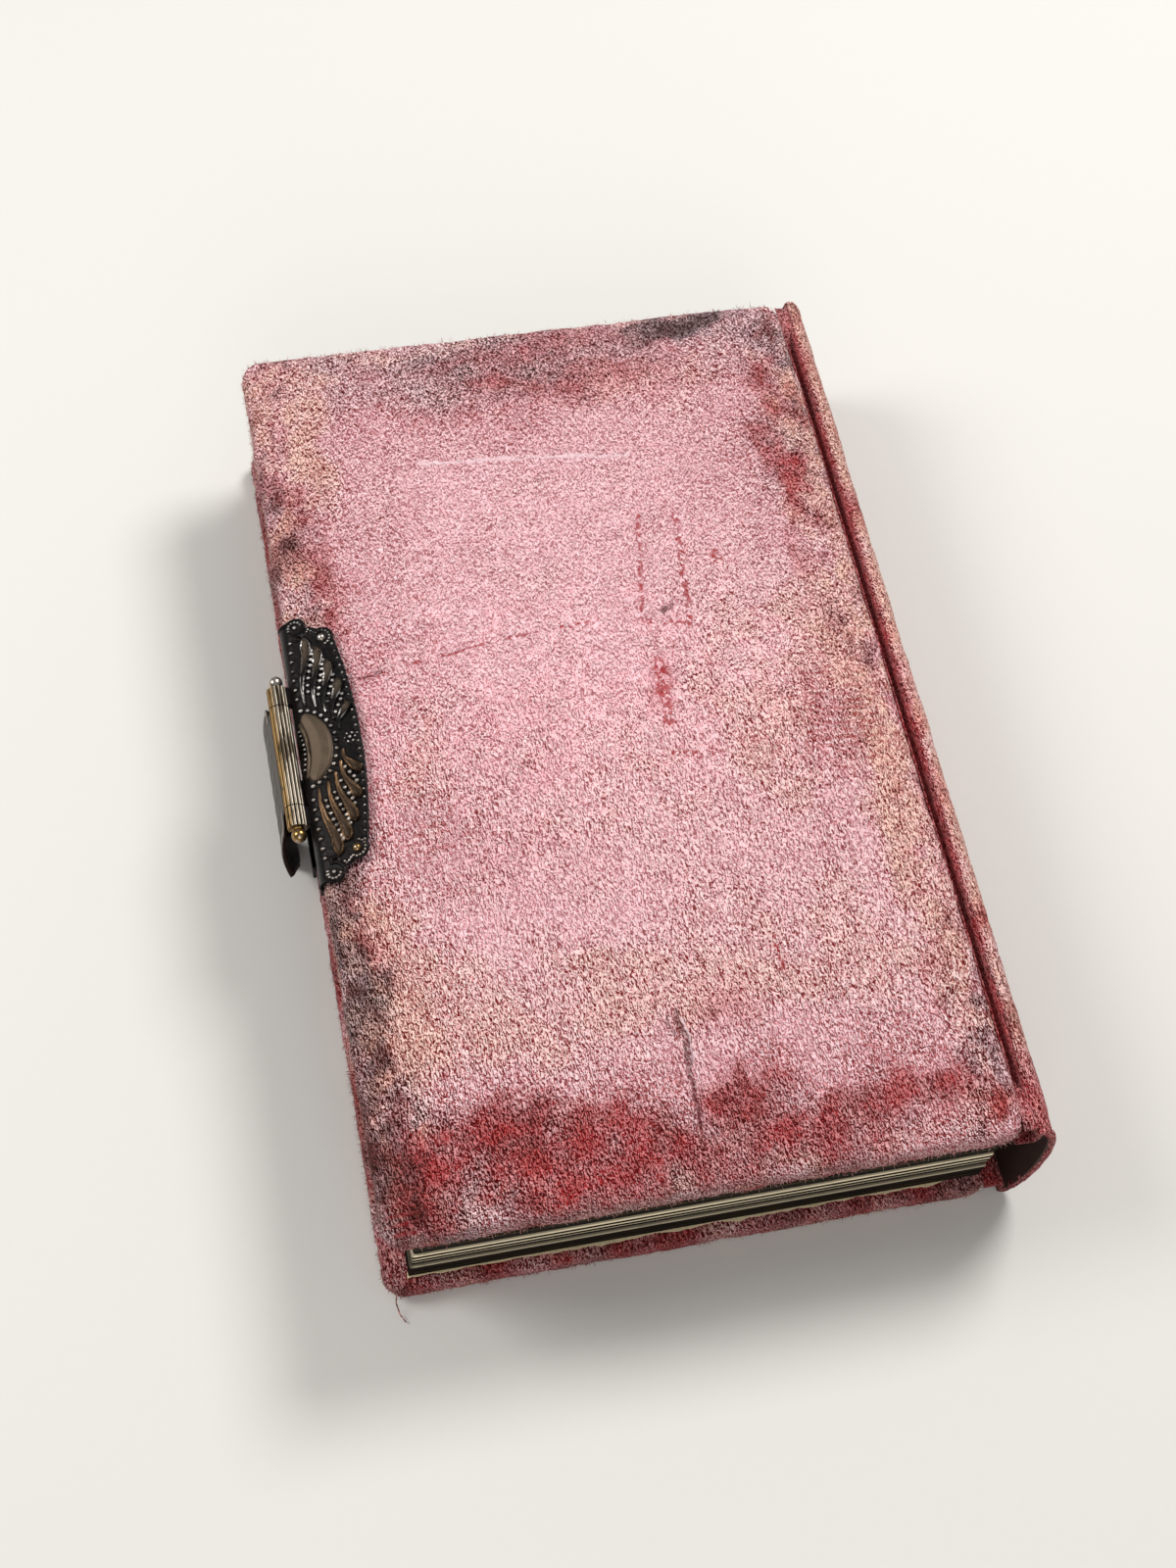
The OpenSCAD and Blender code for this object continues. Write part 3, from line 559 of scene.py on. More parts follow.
def pick(obj):
    clear_selection()
    obj.select_set(True)
    bpy.context.view_layer.objects.active = obj


def add_grid(name, columns, rows):
    """A flat grid from -1 to 1, to be shaped."""
    clear_selection()
    bpy.ops.mesh.primitive_grid_add(x_subdivisions=columns, y_subdivisions=rows, size=2)
    obj = bpy.context.object
    obj.name = obj.data.name = name
    return obj


def add_box(name, low, high):
    """A box between two corners in millimetres."""
    clear_selection()
    low, high = Vector(low), Vector(high)
    bpy.ops.mesh.primitive_cube_add(size=1, location=(low + high) / 2 * MM)
    obj = bpy.context.object
    obj.scale = (high - low) * MM
    bpy.ops.object.transform_apply(location=True, rotation=True, scale=True)
    obj.name = obj.data.name = name
    return obj


def settle(obj):
    """Bring an object's place into its mesh."""
    pick(obj)
    bpy.ops.object.transform_apply(location=True, rotation=True, scale=True)
    return obj


def apply_modifier(obj, kind, **settings):
    pick(obj)
    modifier = obj.modifiers.new(kind.lower(), kind)
    for key, value in settings.items():
        setattr(modifier, key, value)
    bpy.ops.object.modifier_apply(modifier=modifier.name)


def join(parts, name):
    clear_selection()
    for part in parts:
        part.select_set(True)
    bpy.context.view_layer.objects.active = parts[0]
    bpy.ops.object.join()
    parts[0].name = parts[0].data.name = name
    return parts[0]


def smooth_faces(obj, angle=None):
    pick(obj)
    if angle is None:
        bpy.ops.object.shade_smooth()
    else:
        bpy.ops.object.shade_smooth_by_angle(angle=math.radians(angle))


def paint(obj, name, amount):
    """Stores amount(point in millimetres) on each point of the mesh."""
    layer = obj.data.attributes.get(name) or obj.data.attributes.new(name, "FLOAT", "POINT")
    layer.data.foreach_set("value", [amount(v.co / MM) for v in obj.data.vertices])


def dress(obj, material, body, replaced=()):
    """Gives a finished piece its material, its body and the nodes it stands for."""
    obj.data.materials.clear()
    obj.data.materials.append(material)
    if body:
        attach(obj, body)
    if replaced:
        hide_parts(*replaced)
    return obj


def ramp(low, high, x):
    """0 at low, 1 at high and smooth between; low may be above high."""
    t = max(0.0, min(1.0, (x - low) / (high - low)))
    return t * t * (3 - 2 * t)


def cloud(point, size_mm, octaves=3, shift=0.0):
    """Smooth noise from about -1 to 1."""
    p = Vector(point) / size_mm + Vector((shift, 0.7 * shift, 1.3 * shift))
    return noise.fractal(p, 1.0, 2.0, octaves)


def blob(x, y, cx, cy, rx, ry):
    """1 in the middle of an ellipse, 0 outside it."""
    return ramp(1.25, 0.25, math.hypot((x - cx) / rx, (y - cy) / ry))


def line_distance(x, y, points):
    """Distance from a point to a chain of points."""
    best = 1e9
    for (ax, ay), (bx, by) in zip(points, points[1:]):
        dx, dy = bx - ax, by - ay
        t = max(0.0, min(1.0, ((x - ax) * dx + (y - ay) * dy) / (dx * dx + dy * dy)))
        best = min(best, math.hypot(x - ax - t * dx, y - ay - t * dy))
    return best


# The covers

class Section:
    """A cover's section: stations of inset, height and corner radius, by length along it."""

    def __init__(self, stations):
        self.stations = stations
        self.lengths = [0.0]
        for a, b in zip(stations, stations[1:]):
            self.lengths.append(self.lengths[-1] + math.dist(a[:2], b[:2]))
        self.total = self.lengths[-1]

    def at(self, length):
        i = min(max(bisect.bisect_right(self.lengths, length) - 1, 0), len(self.stations) - 2)
        step = self.lengths[i + 1] - self.lengths[i]
        t = max(0.0, min(1.0, (length - self.lengths[i]) / step)) if step else 0.0
        return [a + (b - a) * t for a, b in zip(self.stations[i], self.stations[i + 1])]


class Pad:
    """The padded front cover's surface, at a depth inside its velvet."""
    ROLL_END = math.radians(70)
    POWER = 2.2
    SPREAD = 0.8

    def __init__(self):
        s = sizes()
        self.round = mm(s.edge_round)
        self.shoulder = mm(s.shoulder)
        self.corner = mm(s.corner)
        self.roll_z = FRONT_Z + mm(s.edge_height) - self.round
        self.roll_inset = self.round * (1 - math.cos(self.ROLL_END))
        self.roll_top = self.roll_z + self.round * math.sin(self.ROLL_END)
        self.crown = FRONT_HIGH.z - self.roll_top

    def top(self, inset):
        """Height of the velvet's surface at an inset from the edge."""
        if inset <= 0:
            return self.roll_z
        if inset < self.roll_inset:
            return self.roll_z + math.sqrt(self.round ** 2 - (self.round - inset) ** 2)
        t = min(1.0, (inset - self.roll_inset) / (self.shoulder - self.roll_inset))
        return self.roll_top + self.crown * (1 - (1 - t) ** self.POWER)

    def stations(self, depth, roll_steps=8, shoulder_steps=24):
        out = []
        for i in range(roll_steps + 1):
            a = self.ROLL_END * i / roll_steps
            r = self.round - depth
            out.append((self.round - r * math.cos(a), self.roll_z + r * math.sin(a),
                        max(self.corner - self.round + r * math.cos(a), 0.5)))
        for i in range(1, shoulder_steps + 1):
            t = i / shoulder_steps
            inset = self.roll_inset + t * (self.shoulder - self.roll_inset)
            slope = math.atan(self.crown * self.POWER / (self.shoulder - self.roll_inset)
                              * (1 - t) ** (self.POWER - 1))
            out.append((inset + depth * math.sin(slope), self.top(inset) - depth * math.cos(slope),
                        self.corner - self.roll_inset + self.SPREAD * (inset - self.roll_inset)))
        inset, z, radius = out[-1]
        share = radius / (COVER_W / 2 - inset)
        for i in range(1, 9):
            deeper = inset + (COVER_W / 2 - inset) * i / 8
            out.append((deeper, z, share * max(COVER_W / 2 - deeper, 0.001)))
        return out


def wrap_point(u, v, section, width, length):
    """Where a point of a flat cut, from -1 to 1 both ways, lies once wrapped over its board."""
    half_w = section.total
    half_l = section.total + (length - width) / 2
    x, y = abs(u) * half_w, abs(v) * half_l
    d = min(half_w - x, half_l - y)
    inset, z, r = section.at(d)
    hx, hy = width / 2 - inset, length / 2 - inset
    if half_w - x <= half_l - y:
        straight, side = hy - r, half_l - d
        a = math.pi / 4 * max(0.0, y - straight) / max(side - straight, 1e-6)
        px, py = (hx, y) if y <= straight else (hx - r + r * math.cos(a), straight + r * math.sin(a))
    else:
        straight, side = hx - r, half_w - d
        a = math.pi / 4 * max(0.0, x - straight) / max(side - straight, 1e-6)
        px, py = (x, hy) if x <= straight else (straight + r * math.sin(a), hy - r + r * math.cos(a))
    return Vector((math.copysign(px, u), math.copysign(py, v), z))


def wrap_cloth(name, section, width, length, cell):
    """A cloth cut in one piece and wrapped over a board."""
    half_w = section.total
    half_l = section.total + (length - width) / 2
    obj = add_grid(name, round(2 * half_w / cell), round(2 * half_l / cell))
    for vertex in obj.data.vertices:
        vertex.co = wrap_point(vertex.co.x, vertex.co.y, section, width, length) * MM
    return obj


def displace(obj, amount):
    """Moves each point along its normal by amount(point, normal) in millimetres."""
    moves = [v.normal * amount(v.co / MM, v.normal) * MM for v in obj.data.vertices]
    for vertex, move in zip(obj.data.vertices, moves):
        vertex.co += move


def inflate(obj, held, frames=20):
    """Swells a sheet under pressure with its held points fixed, and applies the result."""
    group = obj.vertex_groups.new(name="held")
    for vertex in obj.data.vertices:
        group.add([vertex.index], held(vertex.co / MM), "REPLACE")
    pick(obj)
    bpy.ops.object.modifier_add(type="CLOTH")
    cloth = obj.modifiers[-1]
    cloth.settings.quality = 6
    cloth.settings.mass = 0.3
    cloth.settings.tension_stiffness = 12
    cloth.settings.compression_stiffness = 12
    cloth.settings.bending_stiffness = 0.4
    cloth.settings.use_pressure = True
    cloth.settings.uniform_pressure_force = 4.0
    cloth.settings.vertex_group_mass = "held"
    cloth.settings.effector_weights.gravity = 0.0
    cloth.collision_settings.use_collision = False
    cloth.point_cache.frame_start = 1
    cloth.point_cache.frame_end = frames
    scene = bpy.context.scene
    for step in range(1, frames + 1):
        scene.frame_set(step)
    bpy.ops.object.modifier_apply(modifier=cloth.name)
    scene.frame_set(1)
    obj.vertex_groups.clear()


def edge_inset(point):
    """Distance of a point from the nearest edge of a cover."""
    return min(COVER_W / 2 - abs(point.x), COVER_L / 2 - abs(point.y))


PAD_CELL = 4.5
PAD_SLACK = 1.0
PAD_CAP = 1.1


def make_padding():
    """The wadding: a pad that swells under its velvet."""
    pad = Pad()
    depth = mm(sizes().velvet) + 0.15
    bottom = FRONT_Z + 2 * depth + 2.5
    stations = [st for st in pad.stations(depth) if st[1] > bottom + 0.1]
    first = (stations[0][0] + 0.3, bottom, stations[0][2])
    section = Section([first] + stations)
    obj = wrap_cloth("wadding", section, COVER_W, COVER_L, PAD_CELL)
    rest = [v.co.z for v in obj.data.vertices]
    for vertex in obj.data.vertices:
        vertex.co.z -= PAD_SLACK * MM * ramp(4, 30, edge_inset(vertex.co / MM))
    inflate(obj, lambda p: 1.0 if edge_inset(p) < 4.5 else 0.0)
    for vertex, z in zip(obj.data.vertices, rest):
        low, high = z - PAD_CAP * MM, z + PAD_CAP * MM
        vertex.co.z = max(low, min(high, vertex.co.z))
    pick(obj)
    bpy.ops.object.mode_set(mode="EDIT")
    bpy.ops.mesh.select_all(action="DESELECT")
    bpy.ops.mesh.select_non_manifold(extend=False)
    bpy.ops.mesh.edge_face_add()
    bpy.ops.mesh.select_all(action="SELECT")
    bpy.ops.mesh.normals_make_consistent(inside=False)
    bpy.ops.object.mode_set(mode="OBJECT")
    smooth_faces(obj, 40)
    cotton = finish_named("cotton_wadding", paper_finish, "cotton_wadding", colour("card"),
                          colour("cream"), 8.0, 1.0, 0.3)
    dress(obj, cotton, "front_cover", ["front_wadding"])
    return obj


def plate_cover(point):
    """1 under the clasp's plate, 0 away from it."""
    inset = point.x - FORE_X
    along = abs(point.y - CLASP_Y)
    return ramp(1.6, 0.4, plate_gap(inset, along)) if point.z > FRONT_Z + 3 else 0.0


def plate_gap(inset, along):
    """Distance from the plate's outline, negative inside it."""
    return -plate_inside(inset, along)


# Tones of the front cover: middle and reach of each patch in millimetres, and its amount
# Lightness: partly the velvet's own tone and partly painted light, with a painted pool of light over the middle and
# painted shade towards the head, the margins and the bottom-left corner.
LIGHTNESS_AND_PAINTED_LIGHT = [
    (0, 30, 60, 60, 0.45), (0, -50, 60, 44, 0.56), (44, -12, 24, 54, 0.04), (60, -46, 14, 54, 0.34), (0, 104, 80, 22, -0.26), (10, 109, 72, 10, -0.20),
    (6, 96, 30, 12, -0.20), (-25, 92, 24, 10, -0.10), (-67, 0, 10, 125, -0.36), (-67, -70, 12, 62, -0.46),
    (66, 10, 7, 120, -0.12), (58, 74, 13, 42, -0.26), (66, -84, 6, 26, -0.36), (66, 95, 6, 22, -0.25),
    (52, -12, 14, 30, -0.2), (-25, -36, 26, 18, -0.12), (-15, -14, 20, 8, -0.10), (15, -12, 16, 14, -0.10),
    (-8, -55, 16, 14, -0.12), (36, -42, 20, 26, -0.06), (0, -106, 84, 17, -0.36), (-44, -97, 30, 11, -0.24),
    (-60, -104, 20, 22, -0.55), (45, 108, 24, 8, -0.20), (8, 84, 20, 3, -0.10), (6, -79, 14, 8, -0.16),
]
DEEPS = [
    (-64, 72, 5, 13, 0.5), (-59, 46, 5, 15, 0.7), (-65, 56, 5, 10, 0.4), (57, 88, 4.5, 12, 0.6),
    (60, 76, 5, 16, 0.65), (56, 66, 4, 8, 0.65), (62, 56, 4, 13, 0.8), (59, 48, 4, 5, 0.7),
    (55, 37, 3, 9, 0.6), (66, 84, 2.5, 15, 0.5), (-50, -95, 14, 8, 0.7), (-36, -98, 13, 9, 0.9),
    (-29, -105, 17, 8, 0.85), (-46, -106, 14, 7, 0.75), (-17, -99, 14, 8, 0.85), (-5, -105, 14, 8, 0.7), (8, -97, 9.5, 7, 1.0),
    (22, -105, 16, 8, 0.8), (42, -101, 20, 8, 0.75), (58, -103, 9, 9, 0.75), (-60, -102, 12, 14, 0.8),
    (0, -110, 64, 6, 0.45), (10, -78, 12, 7, 0.42), (14, 1, 3, 9, 0.45), (5, 97, 28, 6, 0.5), (8, 91, 44, 10, 0.25),
    (-62, -48, 5, 14, 0.35), (-66, -78, 5, 16, 0.4), (65, -108, 5, 5, 0.8), (-2, 106, 44, 5, 0.4),
    (-30, -36, 16, 9, 0.14), (-14, -15, 16, 6, 0.16),
]
# Dirt along the head; along the side edges, the bottom and at the bottom-left corner these patches are partly
# painted shade.
DIRT_AND_PAINTED_SHADE = [
    (42, 108, 17, 5.5, 0.9), (10, 109, 24, 4, 0.2), (8, 90, 15, 3, 0.1), (-34, 109, 22, 4, 0.25),
    (30, 96, 13, 5, 0.2), (66, 95, 6, 22, 0.3), (-67, -62, 6, 50, 0.7), (-63, -104, 13, 14, 0.6),
    (65, -70, 5, 12, 0.2), (66, -92, 5, 12, 0.3), (63, -5, 5, 16, 0.25), (-67, 66, 5, 34, 0.45),
    (0, -113, 66, 3, 0.35), (-40, -96, 8, 5, 0.25), (22, 100, 10, 4, 0.25), (-66, 108, 8, 8, 0.3),
]
WORNS = [
    (-55, 90, 6, 30, 0.75), (-67, 20, 5, 110, 0.45), (-57, -60, 10, 36, 0.7), (-32, -72, 44, 20, 0.5),
    (67, 60, 4, 60, 0.65), (62, -30, 9, 62, 0.75), (46, -66, 26, 30, 0.35), (0, 113, 70, 4, 0.5),
    (20, -62, 28, 22, 0.3), (56, 20, 10, 24, 0.4), (-66, 104, 8, 12, 0.55), (0, -113, 64, 4, 0.35),
    (-44, -10, 10, 40, 0.3), (62, -108, 8, 6, 0.4), (38, 6, 22, 40, 0.4), (4, -72, 26, 16, 0.35), (10, -24, 60, 30, 0.25),
    (30, 92, 30, 14, 0.2),
]
CLOTHS = [(54, -10, 13, 26, 0.9), (-45, -22, 10, 26, 0.6), (-66, -111, 7, 7, 0.9), (25, -20, 20, 12, 0.25),
          (-40, 20, 20, 10, 0.3)]
TONES = ("shade", "deep", "worn", "dirt", "cloth")


def gather(x, y, patches):
    """The sum of the patches that reach a place."""
    total = 0.0
    for cx, cy, rx, ry, amount in patches:
        if abs(x - cx) < 1.25 * rx and abs(y - cy) < 1.25 * ry:
            total += amount * blob(x, y, cx, cy, rx, ry)
    return total


def layer(x, y, patches):
    """The patches that reach a place, each laid over the others."""
    bare = 1.0
    for patch in patches:
        bare *= 1 - gather(x, y, (patch,))
    return 1 - bare


def front_tones(p):
    """Shade, crimson, wear, dirt and bare weave at a place of the front cover; the shade and dirt tones also hold
    painted light and shade.
    """
    stray = noise.noise_vector(p / 12) * 6.5 + noise.noise_vector(p / 4) * 3.4 \
        + noise.noise_vector(p / 1.6) * 1.4
    x, y = p.x + stray.x, p.y + stray.y
    fleck = cloud(p, 6)
    side = ramp(FRONT_Z + 4, FRONT_Z + 1, p.z)
    margin = ramp(17, 6, COVER_W / 2 - abs(p.x) + 4 * cloud(p, 14, 2, 4.0))
    patch = margin * cloud((p.x, 0.6 * p.y, p.z), 4.5, 3, 12.0)
    rubbed, stained = max(0.0, patch), max(0.0, -patch)
    return (limit(0.62 + gather(x, y, LIGHTNESS_AND_PAINTED_LIGHT) + 0.14 * fleck + 0.2 * cloud(p, 24, 2, 9.0)
                  - 0.3 * side - 0.9 * stained + 0.3 * rubbed),
            limit(layer(x, y, DEEPS) * (0.9 + 0.5 * fleck) + 0.5 * side * (0.6 + cloud(p, 11, shift=3))
                  + 0.7 * stained),
            limit(layer(x, y, WORNS) + 0.25 * cloud(p, 9, shift=5) + 0.2 * side + 1.2 * rubbed),
            limit(layer(x, y, DIRT_AND_PAINTED_SHADE) + 0.15 * cloud(p, 8, shift=7) + 0.5 * stained),
            limit(layer(x, y, CLOTHS)))


def other_tones(shift=0.0, deep=0.3, worn=0.4, dirt=0.15, shade=0.45):
    """Tones of velvet away from the front cover: worn in patches and crimson between them."""
    def tones(p):
        fleck = cloud(p, 7, shift=shift)
        return (limit(shade + 0.45 * cloud(p, 20, shift=shift + 2)),
                limit(deep + 0.8 * cloud(p, 14, shift=shift + 1) + 0.2 * fleck),
                limit(worn + 0.7 * cloud(p, 11, shift=shift + 4) - 0.2 * fleck),
                limit(dirt + 0.7 * cloud(p, 17, shift=shift + 8)),
                limit(0.6 * cloud(p, 16, shift=shift + 6)))
    return tones


def back_tones(p):
    """The back cover keeps crimson along its edges, and its underside is rubbed evenly."""
    under = ramp(BACK_LOW.z + 1.6, BACK_LOW.z + 0.4, p.z)
    calm = (0.5 + 0.25 * cloud(p, 46), 0.22 + 0.35 * cloud(p, 38, shift=3),
            0.45 + 0.35 * cloud(p, 30, shift=6), 0.08 + 0.2 * cloud(p, 30, shift=9), 0.3)
    edges = other_tones(11.0, 0.55, 0.3, 0.25, 0.3)(p)
    return [limit(a + (b - a) * under) for a, b in zip(edges, calm)]


def spine_tones(p):
    """The spine is worn along its ridges and crimson in the groove, and dark at the tail."""
    tones = list(other_tones(23.0, 0.1, 0.95, 0.12, 0.6)(p))
    flank = ramp(JOINT_X + 3.6, JOINT_X + 2.2, p.x + 0.6 * cloud(p, 5))
    tail = 0.7 * ramp(-88, -104, p.y + 5 * cloud(p, 12))
    tones[1] = max(tones[1], 0.9 * flank, tail)
    tones[2] *= 1 - max(flank, tail)
    tones[0] = limit(tones[0] - 0.25 * flank - 0.3 * tail)
    return tones


def joint_tones(p):
    """The grooves' velvet has kept its crimson."""
    open_end = ramp(COVER_L / 2 - 16, COVER_L / 2 - 6, abs(p.y))
    return (0.6, 0.9 - 0.3 * open_end, 0.25 * open_end, 0.2 * open_end, 0.0)


def limit(value):
    return max(0.0, min(1.0, value))


def paint_tones(obj, tones):
    """Stores the five tones of the velvet on the points of a mesh."""
    rows = list(zip(*(tones(v.co / MM) for v in obj.data.vertices)))
    for name, row in zip(TONES, rows):
        obj.data.attributes.new(name, "FLOAT", "POINT").data.foreach_set("value", row)


def pile_height(p):
    """Height of the crushed pile's clumps at a point."""
    return cloud((p.x * 0.8 + p.y * 0.5, p.y - p.x * 0.4, p.z), 1.5, 2)


def make_front_velvet():
    """The front cover's velvet, drawn over the wadding and turned in round the board."""
    s = sizes()
    pad = Pad()
    small = 0.8
    under = [(mm(s.turn_in), FRONT_Z, pad.corner / 2), (small, FRONT_Z, pad.corner - small)]
    for i in range(1, 4):
        a = math.radians(30 * i)
        r = small
        under.append((small - r * math.sin(a), FRONT_Z + small - r * math.cos(a),
                      pad.corner - small + r * math.sin(a)))
    section = Section(under + pad.stations(0.0))
    obj = wrap_cloth("front_velvet_cover", section, COVER_W, COVER_L, mm(s.velvet_cell))
    follow_padding(obj, pad)
    pile = mm(s.pile)

    def surface(p, normal):
        lift = pile * pile_height(p) * (2.2 - 1.2 * abs(normal.z))
        if normal.z > -0.5:
            lift += 0.28 * cloud(p, 17, 2) + 0.16 * cloud(p, 6, 2, 3.0)
        if normal.z > 0.3:
            for points, depth, width in CREASES:
                near = line_distance(p.x, p.y, points)
                if near < 3 * width:
                    lift += depth * (0.6 * ramp(3 * width, width, near) - 1.6 * ramp(width, 0, near))
        else:
            lift += 0.25 * cloud(p, 9, 2, 6.0)
        if normal.z < -0.5:
            lift = min(lift, 0.0) * 0.5
        under_plate = plate_cover(p)
        rim = ramp(2.6, 0.7, abs(plate_gap(p.x - FORE_X, abs(p.y - CLASP_Y)) - 1.1))
        lift += 0.35 * rim * (1 - under_plate) * (1 if normal.z > 0.3 and p.x < FORE_X + 20 else 0)
        return lift * (1 - under_plate) - 0.12 * under_plate

    displace(obj, surface)
    paint_tones(obj, front_tones)
    apply_modifier(obj, "SOLIDIFY", thickness=s.velvet, offset=-1.0, use_even_offset=False)
    smooth_faces(obj)
    material = finish_named("marked_velvet", velvet_finish, "marked_velvet", True)
    dress(obj, material, "front_cover", ["front_velvet"])


def follow_padding(obj, pad):
    """Lets the velvet's top lie on the swollen wadding, with its edges as they are."""
    wadding = bpy.data.objects["wadding"]
    tree = BVHTree.FromObject(wadding, bpy.context.evaluated_depsgraph_get())
    cover = (mm(sizes().velvet) + 0.15) * MM
    for vertex in obj.data.vertices:
        p = vertex.co / MM
        inset = edge_inset(p)
        if p.z < pad.roll_top - 0.5 or inset < 3:
            continue
        hit = tree.ray_cast(Vector((vertex.co.x, vertex.co.y, 1.0)), Vector((0, 0, -1)))[0]
        if hit:
            share = ramp(3, 12, inset)
            vertex.co.z += (hit.z + cover - vertex.co.z) * share
            top = (pad.top(inset) + PAD_CAP) * MM
            vertex.co.z = min(vertex.co.z, top)


def make_back_velvet():
    """The back cover's velvet, flat under the album and turned in over the board."""
    s = sizes()
    corner = mm(s.corner)
    top, small, foot = BACK_HIGH.z, 0.8, 1.6
    stations = [(mm(s.turn_in), top, corner / 2), (small, top, corner - small)]
    for i in range(1, 4):
        a = math.radians(30 * i)
        stations.append((small - small * math.sin(a), top - small + small * math.cos(a),
                         corner - small + small * math.sin(a)))
    for i in range(0, 4):
        a = math.radians(30 * i)
        stations.append((foot - foot * math.cos(a), foot - foot * math.sin(a),
                         corner - foot + foot * math.cos(a)))
    for i in range(1, 9):
        deeper = foot + (COVER_W / 2 - foot) * i / 8
        stations.append((deeper, 0.0, (corner - foot) * (1 - i / 8) + 0.001))
    section = Section(stations)
    obj = wrap_cloth("back_velvet_cover", section, COVER_W, COVER_L, 1.8)
    pick(obj)
    bpy.ops.object.mode_set(mode="EDIT")
    bpy.ops.mesh.select_all(action="SELECT")
    bpy.ops.mesh.flip_normals()
    bpy.ops.object.mode_set(mode="OBJECT")
    pile = mm(s.pile)

    def surface(p, normal):
        side = 1 - abs(normal.z)
        lift = (2 * pile * pile_height(p) + 0.35 * cloud(p, 10, 2)) * (0.25 + 0.75 * side)
        near_catch = ramp(3, 0, p.x - FORE_X - 5) * ramp(16, 13, abs(p.y - CLASP_Y))
        return (min(lift, 0.0) if abs(normal.z) > 0.5 else lift) * (1 - near_catch)

    displace(obj, surface)
    for vertex in obj.data.vertices:
        vertex.co.z = max(vertex.co.z, 0.0)
    apply_modifier(obj, "SOLIDIFY", thickness=s.velvet, offset=-1.0, use_even_offset=False)
    obj = join([obj, make_loose_thread()], "back_velvet_cover")
    paint_tones(obj, back_tones)
    smooth_faces(obj)
    material = finish_named("rose_velvet", velvet_finish, "rose_velvet")
    dress(obj, material, "back_cover", ["back_velvet"])


# The spine

def spine_path():
    """The spine's outer section from the upper groove round to the lower one."""
    s = sizes()
    ridge_x = JOINT_X + mm(s.groove)
    r = mm(s.ridge)
    mid = (SPINE_LOW.z + SPINE_HIGH.z) / 2
    half = SPINE_HIGH.z - mid
    bulge = SPINE_HIGH.x - ridge_x - r
    floor = FRONT_Z - 0.3
    upper = [(SPINE_LOW.x, floor), (ridge_x - 0.2, floor), (ridge_x, floor + 0.3)]
    upper += [(ridge_x + r - r * math.cos(math.radians(a)),
               SPINE_HIGH.z - r + r * math.sin(math.radians(a))) for a in range(0, 90, 15)]
    back = [(ridge_x + r + bulge * math.sin(math.radians(a)),
             mid + half * math.cos(math.radians(a))) for a in range(0, 181, 6)]
    lower = [(x, 2 * mid - z) for x, z in reversed(upper)]
    return Section([(x, z, 0.0) for x, z in upper + back + lower])


def make_spine_velvet():
    """The spine's velvet with its ridges and grooves, rounded over at head and tail."""
    s = sizes()
    path = spine_path()
    cell = 1.2
    obj = add_grid("spine_velvet_back", round(path.total / cell), round(COVER_L / 1.5))
    mid = (SPINE_LOW.z + SPINE_HIGH.z) / 2
    for vertex in obj.data.vertices:
        x, z, _ = path.at((vertex.co.x + 1) / 2 * path.total)
        y = vertex.co.y * COVER_L / 2
        end = ramp(3.0, 0.0, COVER_L / 2 - abs(y))
        inward = 0.7 * end * end
        x -= inward * ramp(72, 76, x)
        z += (mid - z) * 0.02 * end * ramp(72, 76, x)
        y -= math.copysign(0.5 * max(0.0, cloud((x, 0, z), 3, 2, 2.0)) * end, y)
        vertex.co = Vector((x, y, z)) * MM
    pile = mm(s.pile)

    def surface(p, normal):
        free = ramp(JOINT_X + 1.5, JOINT_X + 2.6, p.x)
        lift = pile * pile_height(p) + 0.3 * cloud(p, 12, 2) + 0.18 * cloud(p, 5, 2, 2.0)
        return lift * free

    flip_if_inward(obj, Vector((JOINT_X, 0, mid)) * MM)
    displace(obj, surface)
    apply_modifier(obj, "SOLIDIFY", thickness=s.velvet, offset=-1.0, use_even_offset=False)
    obj = join([obj, make_spine_rim(path, 1), make_spine_rim(path, -1)], "spine_velvet_back")
    paint_tones(obj, spine_tones)
    smooth_faces(obj)
    material = finish_named("rose_velvet", velvet_finish, "rose_velvet")
    dress(obj, material, "book_block", ["spine_velvet"])


def make_roll(name, steps, sides, middle_at):
    """A tube; middle_at(0 to 1) gives its middle, its radius and two directions across it."""
    obj = add_grid(name, steps, sides)
    for vertex in obj.data.vertices:
        middle, radius, across, beside = middle_at((vertex.co.x + 1) / 2)
        a = math.pi * vertex.co.y
        vertex.co = (middle + (across * math.cos(a) + beside * math.sin(a)) * radius) * MM
    pick(obj)
    bpy.ops.object.mode_set(mode="EDIT")
    bpy.ops.mesh.select_all(action="SELECT")
    bpy.ops.mesh.remove_doubles(threshold=0.00001)
    bpy.ops.mesh.normals_make_consistent(inside=False)
    bpy.ops.object.mode_set(mode="OBJECT")
    return obj


def make_spine_rim(path, way):
    """A soft roll of turned-in velvet over one end of the spine's liner."""
    start, end = path.lengths[3], path.lengths[-4]

    def middle_at(t):
        length = start + (end - start) * t
        x, z, _ = path.at(length)
        ahead, behind = path.at(length + 0.4), path.at(length - 0.4)
        along = Vector((ahead[0] - behind[0], 0, ahead[1] - behind[1])).normalized()
        inward = Vector((along.z, 0, -along.x))
        rough = 1 + 0.22 * cloud((x, way * 7, z), 4, 2) + 0.15 * cloud((x, way * 7, z), 1.4, 2)
        radius = rough * (0.45 + 0.5 * ramp(0, 3, min(length - start, end - length)))
        middle = Vector((x, way * (COVER_L / 2 - 0.45), z)) + inward * (0.9 * radius)
        return middle, radius, inward, Vector((0, way, 0))

    return make_roll("spine_rim", 120, 16, middle_at)


